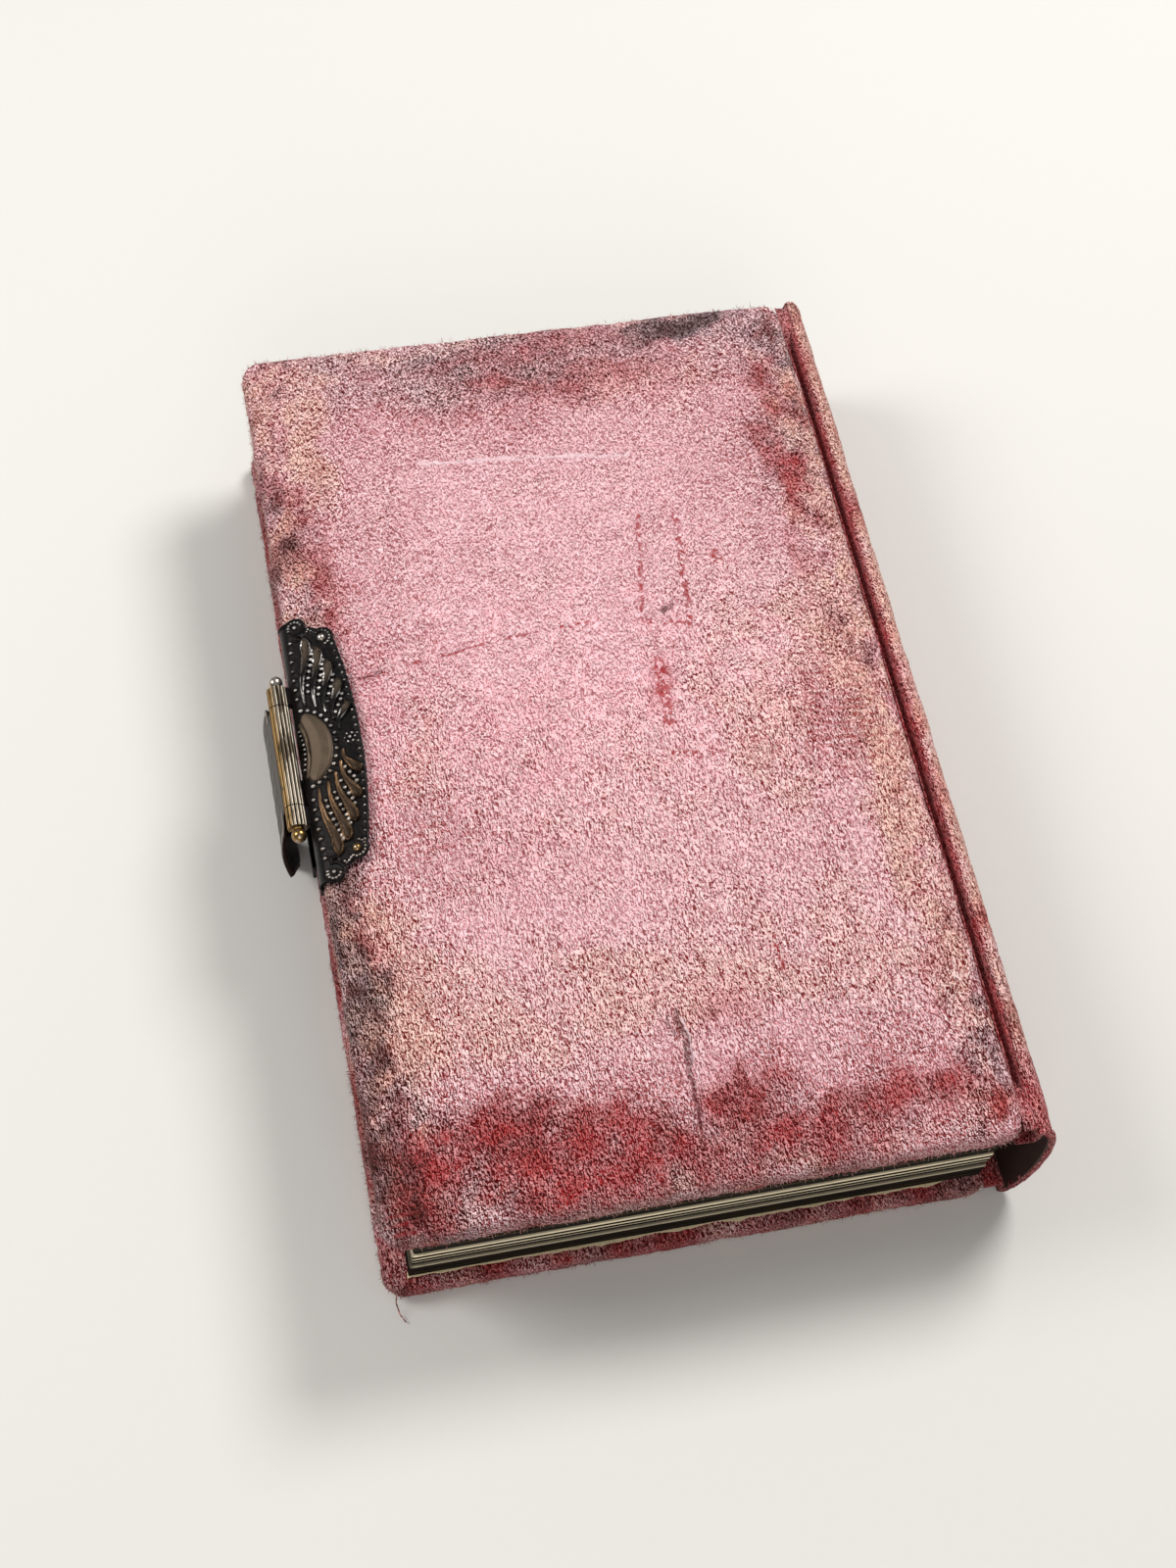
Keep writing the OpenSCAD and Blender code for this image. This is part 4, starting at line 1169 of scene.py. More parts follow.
def make_loose_thread():
    """A thread that hangs out of the back cover's corner."""
    points = [Vector(p) for p in ((-67.0, -114.0, 3.2), (-67.4, -116.2, 2.4), (-66.9, -118.4, 0.9),
                                  (-65.9, -120.2, 0.5))]

    def middle_at(t):
        at = min(t * 3, 2.999)
        i = int(at)
        middle = points[i].lerp(points[i + 1], at - i)
        return middle, 0.14, Vector((1, 0, 0)), Vector((0, 0.5, 0.87))

    return make_roll("loose_thread", 18, 6, middle_at)


def flip_if_inward(obj, centre):
    """Turns a sheet's faces away from a centre line along Y."""
    total = 0.0
    for polygon in obj.data.polygons:
        away = polygon.center - centre
        total += polygon.normal.x * away.x + polygon.normal.z * away.z
    if total < 0:
        pick(obj)
        bpy.ops.object.mode_set(mode="EDIT")
        bpy.ops.mesh.select_all(action="SELECT")
        bpy.ops.mesh.flip_normals()
        bpy.ops.object.mode_set(mode="OBJECT")


def make_joint_velvet(name, way):
    """Velvet of a groove: a fold that joins a cover to the spine, and fills it near its ends."""
    s = sizes()
    flat = FRONT_Z + 4.6 if way > 0 else BACK_HIGH.z - 4.7
    floor = FRONT_Z + 0.2 if way > 0 else BACK_HIGH.z - 0.2
    left, right = JOINT_X + 0.05, JOINT_X + mm(s.groove) - 0.1
    obj = add_grid(name, 14, round(COVER_L / 1.8))
    for vertex in obj.data.vertices:
        u, y = (vertex.co.x + 1) / 2, vertex.co.y * (COVER_L / 2 - 1.2)
        filled = ramp(19, 7, COVER_L / 2 - abs(y) + 2 * cloud((0, y, way), 6))
        depth = abs(flat - floor) * (1 - 0.88 * filled)
        fall = ramp(0, 1, 3.2 * (1 - abs(2 * u - 1)))
        spread = 0.35 * filled
        x = left - spread + (right - left + 2 * spread) * u
        z = flat - way * (depth * fall + 0.15 * filled)
        vertex.co = Vector((x, y, z)) * MM
    apply_modifier(obj, "SOLIDIFY", thickness=0.35 * MM, offset=0.0)
    smooth_faces(obj)
    paint_tones(obj, joint_tones)
    material = finish_named("rose_velvet", velvet_finish, "rose_velvet")
    dress(obj, material, None)
    (left + 0.3) * MM
    (right - 0.3) * MM
    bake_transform(obj)
    across = right - left + 1.9 * abs(flat - floor)
    across * MM


# The leaves

def leaf_offsets(i, count):
    """How far leaf i slides out at the fore-edge and is out of line at the ends."""
    low = 1 - i / (count - 1)
    return LEAF_FAN * low * low, 0.25 * math.sin(math.radians(137 * i))


LEAF_FAN = 1.3
LEAF_ARRIS = 0.22


def make_leaves():
    """Twelve card leaves with eased edges, each a little out of line, round a glued core."""
    s = sizes()
    count = s.leaf_count
    pitch = mm(s.leaf) + mm(s.leaf_gap)
    draw = random.Random(5)
    x1 = LEAVES_HIGH.x
    inner = LEAVES_LOW.x + 0.15 + LEAF_FAN
    half = LEAVES_HIGH.y
    parts = []
    for i in range(count):
        out, jitter = leaf_offsets(i, count)
        low = (inner - out + 0.6 * jitter, -half + 0.2 + jitter, LEAVES_LOW.z + i * pitch)
        high = (x1, half - 0.4 + jitter, low[2] + mm(s.leaf))
        leaf = add_box(f"leaf_{i}", low, high)
        bpy.ops.object.mode_set(mode="EDIT")
        bpy.ops.mesh.select_all(action="SELECT")
        bpy.ops.mesh.bevel(offset=LEAF_ARRIS * MM, segments=2, affect="EDGES")
        bpy.ops.object.mode_set(mode="OBJECT")
        if i == count - 1:
            sink_window(leaf, (low[0] + high[0]) / 2, high[2])
        wave = draw.uniform(0, 6.28)
        for vertex in leaf.data.vertices:
            if vertex.co.x < (x1 - 2) * MM:
                vertex.co.x += 0.08 * MM * math.sin(wave + vertex.co.z * 900)
        parts.append(leaf)
    core = add_box("core", (inner + 3, -half + 3, LEAVES_LOW.z + 0.3),
                   (x1 - 0.3, half - 3, LEAVES_HIGH.z - 1.2))
    obj = join([*parts, core], "card_leaves")
    smooth_faces(obj, 35)
    edge_faces(obj)
    dress(obj, finish_named("album_card", leaf_finish), "book_block", ["page_block"])


def sink_window(leaf, middle_x, top):
    """Cuts the first leaf's picture window, square below and round above."""
    s = sizes()
    w, h, rise = mm(s.window_width), mm(s.window_height), 2.0
    depth = 0.9
    r = w / 2
    clear_selection()
    bpy.ops.mesh.primitive_cylinder_add(vertices=96, radius=r * MM, depth=4 * MM,
                                        location=(middle_x * MM, (rise + h / 2 - r) * MM,
                                                  (top - depth + 2) * MM))
    arch = settle(bpy.context.object)
    square = add_box("window_square", (middle_x - r, rise - h / 2, top - depth),
                     (middle_x + r, rise + h / 2 - r, top - depth + 4))
    for cutter in (arch, square):
        apply_modifier(leaf, "BOOLEAN", object=cutter, operation="DIFFERENCE", solver="EXACT")
        bpy.data.objects.remove(cutter)


def edge_faces(obj):
    """Marks the faces of the leaves' outer edges, which have darkened."""
    mesh = obj.data
    reach = 1.2
    marks = []
    for face in mesh.polygons:
        x, y, _ = face.center / MM
        outer = abs(y) > LEAVES_HIGH.y - reach or x < LEAVES_LOW.x + 2 * reach
        marks.append(1.0 if outer and abs(face.normal.z) < 0.95 else 0.0)
    mesh.attributes.new("edge", "FLOAT", "FACE").data.foreach_set("value", marks)


def make_loose_sheet():
    """The loose sheet under the leaves, ragged, and hollowed between its fore-edge corners."""
    obj = add_grid("loose_sheet", 90, 150)
    low, high = SHEET_LOW, SHEET_HIGH
    middle, half = (low + high) / 2, (high - low) / 2
    for vertex in obj.data.vertices:
        u, v = vertex.co.x, vertex.co.y
        torn = 0.75 + 0.55 * cloud((u * half.x, v * half.y, 3), 4, 3) \
            + 0.3 * cloud((u * half.x, v * half.y, 9), 1.4, 2)
        torn = max(0.0, min(1.3, torn))
        bay = 1.5 * ramp(half.y - 1.2, half.y - 3.2, abs(v) * half.y)
        x = middle.x + u * half.x + (torn + bay if u < 0 else 0.0) * ramp(0.96, 1.0, -u)
        y = middle.y + v * (half.y - torn * ramp(0.97, 1.0, abs(v)))
        z = middle.z + 0.06 * cloud((x, y, 0), 18, 2)
        vertex.co = Vector((x, y, z)) * MM
    apply_modifier(obj, "SOLIDIFY", thickness=0.42 * MM, offset=0.0)
    smooth_faces(obj, 40)
    material = finish_named("torn_paper", paper_finish, "torn_paper", colour("card"), colour("board"))
    dress(obj, material, "book_block", ["back_flyleaf"])


# The clasp

LOBE_R, INNER_LOBE_R, INNER_LOBE_S = 2.6, 2.8, 8.3
INNER_LOBE_Y = PLATE_HALF - 7
SIDE_ARC_R = 150
BOSS_S, BOSS_Y = 9.2, 11.4
HOLLOW_S, HOLLOW_R = 1.6, 21.6
SEAT = 0.1


def plate_inside(s, y):
    """Distance inside the plate's outline from above, negative outside it."""
    width = mm(sizes().plate_width)
    y = abs(y)
    teeth = 0.13 * (abs(math.sin(y * math.pi / 2.05)) - 0.6)
    long_side = min(SIDE_ARC_R - math.hypot(s - width + SIDE_ARC_R, y), INNER_LOBE_Y - y)
    shapes = (
        min(PLATE_HALF - 0.6 - y, LOBE_R - s),
        LOBE_R - math.hypot(s - LOBE_R, y - PLATE_HALF + LOBE_R),
        2.1 - math.hypot(s - 5.6, y - PLATE_HALF + 5.4),
        INNER_LOBE_R - math.hypot(s - INNER_LOBE_S, y - INNER_LOBE_Y),
        min(INNER_LOBE_S - s, INNER_LOBE_Y + 1.2 - y),
        long_side,
    )
    return max(shapes) + (teeth if s > 0.5 else 0.0)


def plate_path(depth=0.0):
    """Section of the plate's outer face, from its foot over the rolled edge."""
    pad = Pad()
    out = SEAT + mm(sizes().plate_metal) - depth
    foot = (-out, PLATE_LOW.z + 0.0, 0.0)
    rolled = [(s, z, 0.0) for s, z, _ in pad.stations(-out, 24, 60) if s < 24]
    return Section([foot] + rolled)


def s_curve(p, q, steps=30):
    """Points of an S that leans out from p and curls in to q from the border."""
    rise = q[1] - p[1]
    b, c = (p[0] - 0.8, p[1] + 0.5 * rise), (q[0] + 1.2, q[1] - 0.25 * rise)
    out = []
    for i in range(steps + 1):
        t = i / steps
        u = 1 - t
        out.append(tuple(u ** 3 * p[k] + 3 * u * u * t * b[k] + 3 * u * t * t * c[k] + t ** 3 * q[k]
                         for k in (0, 1)))
    return out


def tail_point(k, count):
    a = math.radians(14 + 77.5 / count * k)
    return BOSS_S * math.sin(a), BOSS_Y * math.cos(a)


def head_point(k, count):
    a = math.radians(18 + 67.5 / count * k)
    return (mm(sizes().plate_width) - 1.9) * math.sin(a) ** 0.85, (PLATE_HALF - 4.8) * math.cos(a)


def drop_width(t):
    """Width along a gadroon, from its thin tail to its round head."""
    if t < 0.80:
        return 0.30 + 0.70 * (t / 0.80) ** 1.25
    return math.sqrt(max(0.02, 1 - ((t - 0.80) / 0.20) ** 2))


class Ornament:
    """The stamped design: gadroons, beads and a kidney-shaped boss, as heights on the plate."""
    CELL = 2.0

    def __init__(self):
        s = sizes()
        self.relief = mm(s.relief)
        self.bead_r = mm(s.bead)
        count = s.gadroon_count
        self.gadroons, self.beads = [], []
        for side in (1, -1):
            for k in range(count):
                line = s_curve(tail_point(k, count), head_point(k, count))
                self.gadroons.append(([(a, b * side) for a, b in line], 1.35))
            for k in range(count - 1):
                self.bead_row(k, count, side)
            self.lobe_beads(side)
        for i in range(15):
            a = math.radians(8 + 164 * i / 14)
            self.beads.append(((BOSS_S - 1.4) * math.sin(a), (BOSS_Y - 1.4) * math.cos(a), self.bead_r))
        for i in range(9):
            a, r = math.radians(14 * (i / 4 - 1)), HOLLOW_R - 1.02
            self.beads.append((HOLLOW_S - HOLLOW_R + r * math.cos(a), r * math.sin(a), 0.42))
        self.border_beads()
        self.index = {}
        for number, (s0, y0, r) in enumerate(self.beads):
            self.enter(("bead", number), s0 - r, s0 + r, y0 - r, y0 + r)
        for number, (line, w) in enumerate(self.gadroons):
            for i, (a, b) in enumerate(line):
                self.enter(("gadroon", number), a - w, a + w, b - w, b + w)

    def enter(self, item, s0, s1, y0, y1):
        for i in range(math.floor(s0 / self.CELL), math.floor(s1 / self.CELL) + 1):
            for j in range(math.floor(y0 / self.CELL), math.floor(y1 / self.CELL) + 1):
                self.index.setdefault((i, j), set()).add(item)

    def bead_row(self, k, count, side):
        """Beads in a row between gadroon k and the next."""
        p = [(a + b) / 2 for a, b in zip(tail_point(k, count), tail_point(k + 1, count))]
        q = [(a + b) / 2 for a, b in zip(head_point(k, count), head_point(k + 1, count))]
        beads = max(2, int(math.dist(p, q) / (2.7 * self.bead_r)) - 1)
        row = s_curve(p, q, 60)
        for i in range(beads):
            first = 0.16 + 0.04 * k
            a, b = row[round((first + (0.84 - first) * i / (beads - 1)) * 60)]
            self.beads.append((a, b * side, self.bead_r * (0.9 + 0.15 * i / (beads - 1))))

    def lobe_beads(self, side):
        """Small beads that fill the plate's corners beyond the gadroons."""
        for i in range(7):
            a = math.radians(20 + 30 * i)
            self.beads.append((LOBE_R + 1.5 * math.cos(a), side * (PLATE_HALF - LOBE_R + 1.5 * math.sin(a)),
                               0.42))
        self.beads.append((LOBE_R, side * (PLATE_HALF - LOBE_R), 0.6))
        for i in range(9):
            a = math.radians(-70 + 24 * i)
            self.beads.append((INNER_LOBE_S + 1.95 * math.cos(a),
                               side * (INNER_LOBE_Y + 1.95 * math.sin(a)), 0.42))
        for i in range(5):
            self.beads.append((5.2 + 0.5 * i, side * (PLATE_HALF - 4.0 - 0.5 * abs(i - 1)), 0.36))
        for i in range(7):
            self.beads.append((0.7 + 0.012 * i * i, side * (13.2 + 2.5 * i), 0.5))

    def border_beads(self):
        """Small beads along the plate's long side."""
        width = mm(sizes().plate_width)
        y = -26.0
        while y < 26.1:
            s = width - SIDE_ARC_R + math.sqrt((SIDE_ARC_R - 0.85) ** 2 - y * y)
            self.beads.append((s, y, 0.4))
            y += 2.05
        self.beads.append((width - 2.6, 0.0, 0.55))
        for i in range(6):
            a = math.radians(60 * i)
            self.beads.append((width - 2.6 + 1.15 * math.cos(a), 1.15 * math.sin(a), 0.38))

    def height(self, s, y):
        """Height, brightness, dullness and brownness of the stamping at a place on the plate."""
        best, shine, boss, brown = 0.0, 0.0, 0.0, 0.3
        for kind, number in self.index.get((math.floor(s / self.CELL), math.floor(y / self.CELL)), ()):
            if kind == "bead":
                bs, by, r = self.beads[number]
                d = math.hypot(s - bs, y - by)
                if d < r:
                    h = 1.15 * math.sqrt(r * r - d * d)
                    if h > best:
                        # The bead's top is marked bright: partly rubbed metal, partly a painted highlight.
                        best, shine, boss, brown = h, ramp(0.3 * r, 1.0 * r, h), 0.0, 0.25
            else:
                h, bright, dull = self.gadroon_height(number, s, y)
                if h > best:
                    best, shine, boss, brown = h, bright, dull, 1.0
        h = self.boss_height(s, y)
        if h > best:
            best, shine, boss, brown = h, 0.25, 1.0, 0.0
        inside = plate_inside(s, y)
        if s > 0.3 or abs(y) > PLATE_HALF - 3:
            best = max(best, 0.38 * ramp(0.75, 0.45, inside) * ramp(-0.1, 0.2, inside))
        return best, shine, boss, brown

    def gadroon_height(self, number, s, y):
        """A rounded comma with a raised, bright outline and a dished back."""
        line, width = self.gadroons[number]
        steps = len(line) - 1
        near, at = 1e9, 0.0
        for i in range(steps):
            (ax, ay), (bx, by) = line[i], line[i + 1]
            dx, dy = bx - ax, by - ay
            t = max(0.0, min(1.0, ((s - ax) * dx + (y - ay) * dy) / (dx * dx + dy * dy)))
            d = math.hypot(s - ax - t * dx, y - ay - t * dy)
            if d < near:
                near, at = d, (i + t) / steps
        w = width * drop_width(at)
        if near >= w:
            return 0.0, 0.0, 0.0
        depth = w - near
        wire = 0.3
        rim = math.sqrt(max(0.0, 1 - ((depth - wire) / wire) ** 2)) if depth < 2 * wire else 0.0
        back = ramp(0.2, 0.75 * w, depth) * (0.55 if w > 0.8 else 0.8)
        tall = self.relief * (0.62 + 0.38 * at)
        h = tall * max(rim, back, 0.45 * ramp(0, 0.2, depth))
        # The outline's crest is marked bright: partly rubbed metal, partly a painted highlight that waxes and wanes
        # along it.
        crest = ramp(0.5, 1.0, rim) * (0.55 + 0.45 * math.sin(9 * at + number))
        return h, 0.2 + 0.75 * crest + 0.1 * back, 0.55 * ramp(0.2, 0.6, depth / w) * ramp(0.35, 0.8, at)

    def boss_height(self, s, y):
        """A smooth kidney with a crescent rib along its hollow side."""
        across = min(1.0, abs(y) / 8.9)
        middle = 3.7 - 1.9 * across ** 2
        half = 3.1 * math.sqrt(max(0.0, 1 - across ** 2.6))
        from_hollow = math.hypot(s - HOLLOW_S + HOLLOW_R, y) - HOLLOW_R
        inside = min(half - abs(s - middle), from_hollow)
        h = 0.0
        if inside > 0:
            h = self.relief * (0.70 * ramp(0, 0.5, inside) + 0.35 * ramp(0.2, 2.6, inside))
        rib = abs(from_hollow + 0.3)
        if rib < 0.3 and abs(y) < 7.0:
            h = max(h, 0.6 * math.sqrt(1 - (rib / 0.3) ** 2) * ramp(7.0, 5.0, abs(y)))
        return h


def trim_sheet(obj, inside, place):
    """Cuts a flat sheet to an outline, draws its border onto it, and puts the sheet in place."""
    mesh = bmesh.new()
    mesh.from_mesh(obj.data)
    gone = [face for face in mesh.faces if inside(*face.calc_center_median()[:2]) < 0]
    bmesh.ops.delete(mesh, geom=gone, context="FACES")
    step = 0.02
    for vertex in mesh.verts:
        if not vertex.is_boundary:
            continue
        for _ in range(3):
            a, b = vertex.co.x, vertex.co.y
            value = inside(a, b)
            slope_a = (inside(a + step, b) - inside(a - step, b)) / (2 * step)
            slope_b = (inside(a, b + step) - inside(a, b - step)) / (2 * step)
            square = slope_a ** 2 + slope_b ** 2
            if square < 0.01 or abs(value) > 0.6:
                break
            vertex.co.x -= 0.9 * value * slope_a / square
            vertex.co.y -= 0.9 * value * slope_b / square
    layers = {name: mesh.verts.layers.float.new(name) for name in ("relief", "bronze", "matt")}
    for vertex in mesh.verts:
        position, tones = place(vertex.co.x, vertex.co.y)
        vertex.co = position * MM
        for name, layer in layers.items():
            vertex[layer] = tones.get(name, 0.0)
    mesh.to_mesh(obj.data)
    mesh.free()
    obj.data.update()


PLATE_CELL = 0.22


def make_clasp_plate():
    """The stamped plate: its sheet follows the padded edge and carries the ornament."""
    s = sizes()
    path = plate_path()
    ornament = Ornament()
    reach = next(path.lengths[i] for i, st in enumerate(path.stations) if st[0] > mm(s.plate_width) + 0.4)
    half = PLATE_HALF + 0.3
    obj = add_grid("stamped_plate", round(reach / PLATE_CELL), round(2 * half / PLATE_CELL))
    for vertex in obj.data.vertices:
        vertex.co = Vector(((vertex.co.x + 1) / 2 * reach, vertex.co.y * half, 0))
    flange_end = path.lengths[1]

    def inside(a, y):
        return min(plate_inside(path.at(a)[0], y), a + 0.001)

    def place(a, y):
        inset, z, _ = path.at(a)
        ahead, behind = path.at(a + 0.05), path.at(max(0.0, a - 0.05))
        tangent = Vector((ahead[0] - behind[0], ahead[1] - behind[1])).normalized()
        normal = Vector((-tangent.y, tangent.x))
        h, shine, boss, brown = ornament.height(inset, y) if a > flange_end else (0.0, 0.1, 0.0, 0.3)
        h += 0.03 * cloud((inset, y, 0), 0.9, 2) * (1 - boss)
        lower = ramp(2.0, -6.0, y)
        # The relief tone is brightness: partly rubbed metal, partly painted highlights.
        tones = {"relief": shine * (0.85 + 0.3 * cloud((inset, y, 5), 4, 2)),
                 "matt": boss if boss == 1 else boss * (1 - lower),
                 "bronze": brown * lower * ramp(0.1, 0.5, shine)}
        out = Vector((inset, z)) + normal * h
        return Vector((FORE_X + out.x, CLASP_Y + y, out.y)), tones

    trim_sheet(obj, inside, place)
    flip_if_inward(obj, Vector((FORE_X + 6, 0, FRONT_Z)) * MM)
    apply_modifier(obj, "SOLIDIFY", thickness=(mm(s.plate_metal) - 0.08) * MM, offset=-1.0,
                   use_even_offset=False)
    smooth_faces(obj, 60)
    knuckle, barrel = 5.0, barrel_half()
    black = finish_named("black_clasp", metal_finish, "black_clasp", colour("gunmetal"),
                         colour("worn_metal"))
    reeds = finish_named("tarnished_reeds", barrel_finish)
    obj.data.materials.append(black)
    parts = [obj]
    for side in (-1, 1):
        y0 = CLASP_Y + (barrel - knuckle if side > 0 else -barrel)
        tube = reeded_tube("end_knuckle", y0, y0 + knuckle)
        tube.data.materials.append(reeds)
        parts.append(tube)
        web = add_box("web", (PIN_X + mm(s.barrel) - 0.7, y0 + 0.1, PIN_Z - 1.1),
                      (FORE_X - SEAT - 0.3, y0 + knuckle - 0.1, PIN_Z + 1.1))
        apply_modifier(web, "BEVEL", width=0.25 * MM, segments=2)
        web.data.materials.append(black)
        parts.append(web)
    obj = join(parts, "stamped_plate")
    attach(obj, "front_cover")
    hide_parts("clasp_plate")


def barrel_half():
    return (PIN_HIGH.y - PIN_LOW.y) / 2 - 2 * BALL_R - 0.05


def reeded_tube(name, y0, y1):
    """A barrel between two places along Y, with half-round reeds along it."""
    s = sizes()
    count, radius = s.reed_count, mm(s.barrel)
    clear_selection()
    bpy.ops.mesh.primitive_cylinder_add(
        vertices=count * 10, radius=radius * MM, depth=(y1 - y0) * MM, end_fill_type="NGON",
        location=(PIN_X * MM, (y0 + y1) / 2 * MM, PIN_Z * MM), rotation=(math.pi / 2, 0, 0))
    obj = settle(bpy.context.object)
    obj.name = obj.data.name = name
    bpy.ops.object.mode_set(mode="EDIT")
    bpy.ops.mesh.select_all(action="DESELECT")
    mesh = bmesh.from_edit_mesh(obj.data)
    for face in mesh.faces:
        face.select = abs(face.normal.y) > 0.9
    bmesh.update_edit_mesh(obj.data)
    bpy.ops.mesh.inset(thickness=0.35 * MM)
    bpy.ops.mesh.select_more()
    bpy.ops.object.mode_set(mode="OBJECT")
    layer = obj.data.attributes.new("relief", "FLOAT", "POINT")
    middle = Vector((PIN_X, 0, PIN_Z)) * MM
    shine = []
    for vertex in obj.data.vertices:
        away = vertex.co - middle
        away.y = 0
        a = math.atan2(away.z, away.x)
        crest = abs(math.cos(a * count / 2)) ** 0.55
        if away.length > (radius - 0.1) * MM:
            vertex.co -= away.normalized() * 0.42 * (1 - crest) * MM
        shine.append(crest)
    layer.data.foreach_set("value", shine)
    smooth_faces(obj, 50)
    return obj


def hasp_centre(drop):
    """The strap's centre line: X at a distance below the pin, in millimetres."""
    fall = PIN_Z - HASP_LOW.z
    barrel = mm(sizes().barrel)
    lip_start = (PIN_Z - 3.5) / fall
    u = drop / fall
    v, w = min(1.0, u / lip_start), max(0.0, (u - lip_start) / (1 - lip_start))
    root = -(barrel - 0.6)
    low = FORE_X - SEAT - 0.8 - 2.1 - 0.3 - 0.5 - PIN_X
    return PIN_X + root + (low - root) * v * v - 2.1 * math.sin(math.pi * v) - 2.0 * w * w


def make_hasp():
    """The hasp: a bowed strap with a raised border, its eye for the stud and a curled lip."""
    fall = PIN_Z - HASP_LOW.z
    half, tip = (HASP_HIGH.y - HASP_LOW.y) / 2, 8.0
    neck = barrel_half() - 5.25
    barrel = mm(sizes().barrel)
    shoulder, waist = barrel + 0.7, 0.72 * fall
    eye_drop, eye_r = PIN_Z - 3.5, 1.35

    def inside(y, drop):
        y = abs(y)
        taper = half + (tip - half) * ramp_line(waist, fall, drop)
        body = min(taper - y, drop - shoulder, fall - drop)
        rounding = 3.0
        if y > half - rounding and drop < shoulder + rounding:
            body = rounding - math.hypot(y - half + rounding, drop - shoulder - rounding)
        tongue = min(neck - y, drop - 1.2, shoulder + 4 - drop)
        eye = math.hypot(y, drop - eye_drop) - eye_r
        return min(max(body, tongue), eye)

    obj = add_grid("hasp_strap", round(2 * half / 0.4), round(fall / 0.4))
    for vertex in obj.data.vertices:
        vertex.co = Vector((vertex.co.x * (half + 0.2), (vertex.co.y + 1) / 2 * (fall + 0.2), 0))

    def place(y, drop):
        edge = inside(y, drop)
        rim = ramp(1.7, 1.2, edge) * ramp(0.0, 0.35, edge) if drop > shoulder else 0.0
        panel = ramp(2.4, 3.2, edge) * ramp(shoulder + 2, shoulder + 4, drop)
        flute = 0.16 * panel * (0.5 + 0.5 * math.cos(y * math.pi / 2.2)) * ramp(waist, waist - 6, drop)
        h = 0.26 * rim + flute
        tones = {"relief": 0.2 + 0.6 * rim + 0.25 * flute / 0.16 * panel, "bronze": 0.25}
        x = hasp_centre(drop) - 0.5 - h + 0.02
        return Vector((x, CLASP_Y + y, PIN_Z - drop)), tones

    trim_sheet(obj, inside, place)
    flip_if_outward_x(obj)
    apply_modifier(obj, "SOLIDIFY", thickness=0.9 * MM, offset=-1.0, use_even_offset=False)
    smooth_faces(obj, 45)
    tube = reeded_tube("middle_knuckle", CLASP_Y - neck, CLASP_Y + neck)
    strap_metal = finish_named("black_clasp", metal_finish, "black_clasp", colour("gunmetal"),
                               colour("worn_metal"))
    reeds = finish_named("tarnished_reeds", barrel_finish)
    obj.data.materials.append(strap_metal)
    tube.data.materials.append(reeds)
    obj = join([obj, tube], "hasp_strap")
    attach(obj, "hasp")
    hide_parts("hasp")


def ramp_line(low, high, x):
    return max(0.0, min(1.0, (x - low) / (high - low)))


def flip_if_outward_x(obj):
    """Turns the strap's faces towards -X."""
    if sum(polygon.normal.x for polygon in obj.data.polygons) > 0:
        pick(obj)
        bpy.ops.object.mode_set(mode="EDIT")
        bpy.ops.mesh.select_all(action="SELECT")
        bpy.ops.mesh.flip_normals()
        bpy.ops.object.mode_set(mode="OBJECT")


def make_pin():
    """The hinge pin with a turned ball and a collar at each end."""
    parts = []
    ball_y = (PIN_HIGH.y - PIN_LOW.y) / 2 - BALL_R
    clear_selection()
    bpy.ops.mesh.primitive_cylinder_add(vertices=32, radius=1.05 * MM, depth=2 * ball_y * MM,
                                        location=(PIN_X * MM, CLASP_Y * MM, PIN_Z * MM),
                                        rotation=(math.pi / 2, 0, 0))
    parts.append(settle(bpy.context.object))
    for side in (-1, 1):
        clear_selection()
        bpy.ops.mesh.primitive_uv_sphere_add(
            segments=40, ring_count=24, radius=(BALL_R - 0.02) * MM, rotation=(math.pi / 2, 0, 0),
            location=(PIN_X * MM, (CLASP_Y + side * ball_y) * MM, PIN_Z * MM))
        ball = settle(bpy.context.object)
        parts.append(ball)
        clear_selection()
        bpy.ops.mesh.primitive_torus_add(
            major_segments=40, minor_segments=10, major_radius=1.15 * MM, minor_radius=0.28 * MM,
            location=(PIN_X * MM, (CLASP_Y + side * (ball_y - BALL_R + 0.22)) * MM, PIN_Z * MM),
            rotation=(math.pi / 2, 0, 0))
        parts.append(settle(bpy.context.object))
    obj = join(parts, "pin_with_balls")
    smooth_faces(obj, 50)
    dress(obj, finish_named("bright_balls", ball_finish), "front_cover", ["hinge_pin"])


# Loose pile along the edges

def make_edge_pile(name, body, roots, seed, length=0.7):
    """Short fibres that stand out of a cover's worn edges, from (place, direction) pairs."""
    draw = random.Random(seed)
    clear_selection()
    bpy.ops.mesh.primitive_cone_add(vertices=3, radius1=0.09 * MM, radius2=0.02 * MM, depth=1 * MM)
    pattern = settle(bpy.context.object)
    pattern.name = pattern.data.name = name
    single = pattern.data.copy()
    whole = bmesh.new()
    for place, way in roots:
        lean = Vector((draw.gauss(0, 0.55), draw.gauss(0, 0.55), draw.gauss(0, 0.55)))
        way = (Vector(way) + lean).normalized()
        tall = length * draw.uniform(0.5, 1.5)
        turn = way.to_track_quat("Z", "Y").to_matrix().to_4x4()
        middle = (Vector(place) + way * (tall / 2 - 0.2)) * MM
        start = len(whole.verts)
        whole.from_mesh(single)
        whole.verts.ensure_lookup_table()
        move = Matrix.Translation(middle) @ turn @ Matrix.Diagonal((1, 1, tall, 1))
        bmesh.ops.transform(whole, matrix=move, verts=whole.verts[start:])
    whole.to_mesh(pattern.data)
    whole.free()
    bpy.data.meshes.remove(single)
    paint_tones(pattern, other_tones(3.0, 0.1, 0.8, 0.0, 0.7))
    material = finish_named("rose_velvet", velvet_finish, "rose_velvet")
    dress(pattern, material, body)
    return pattern


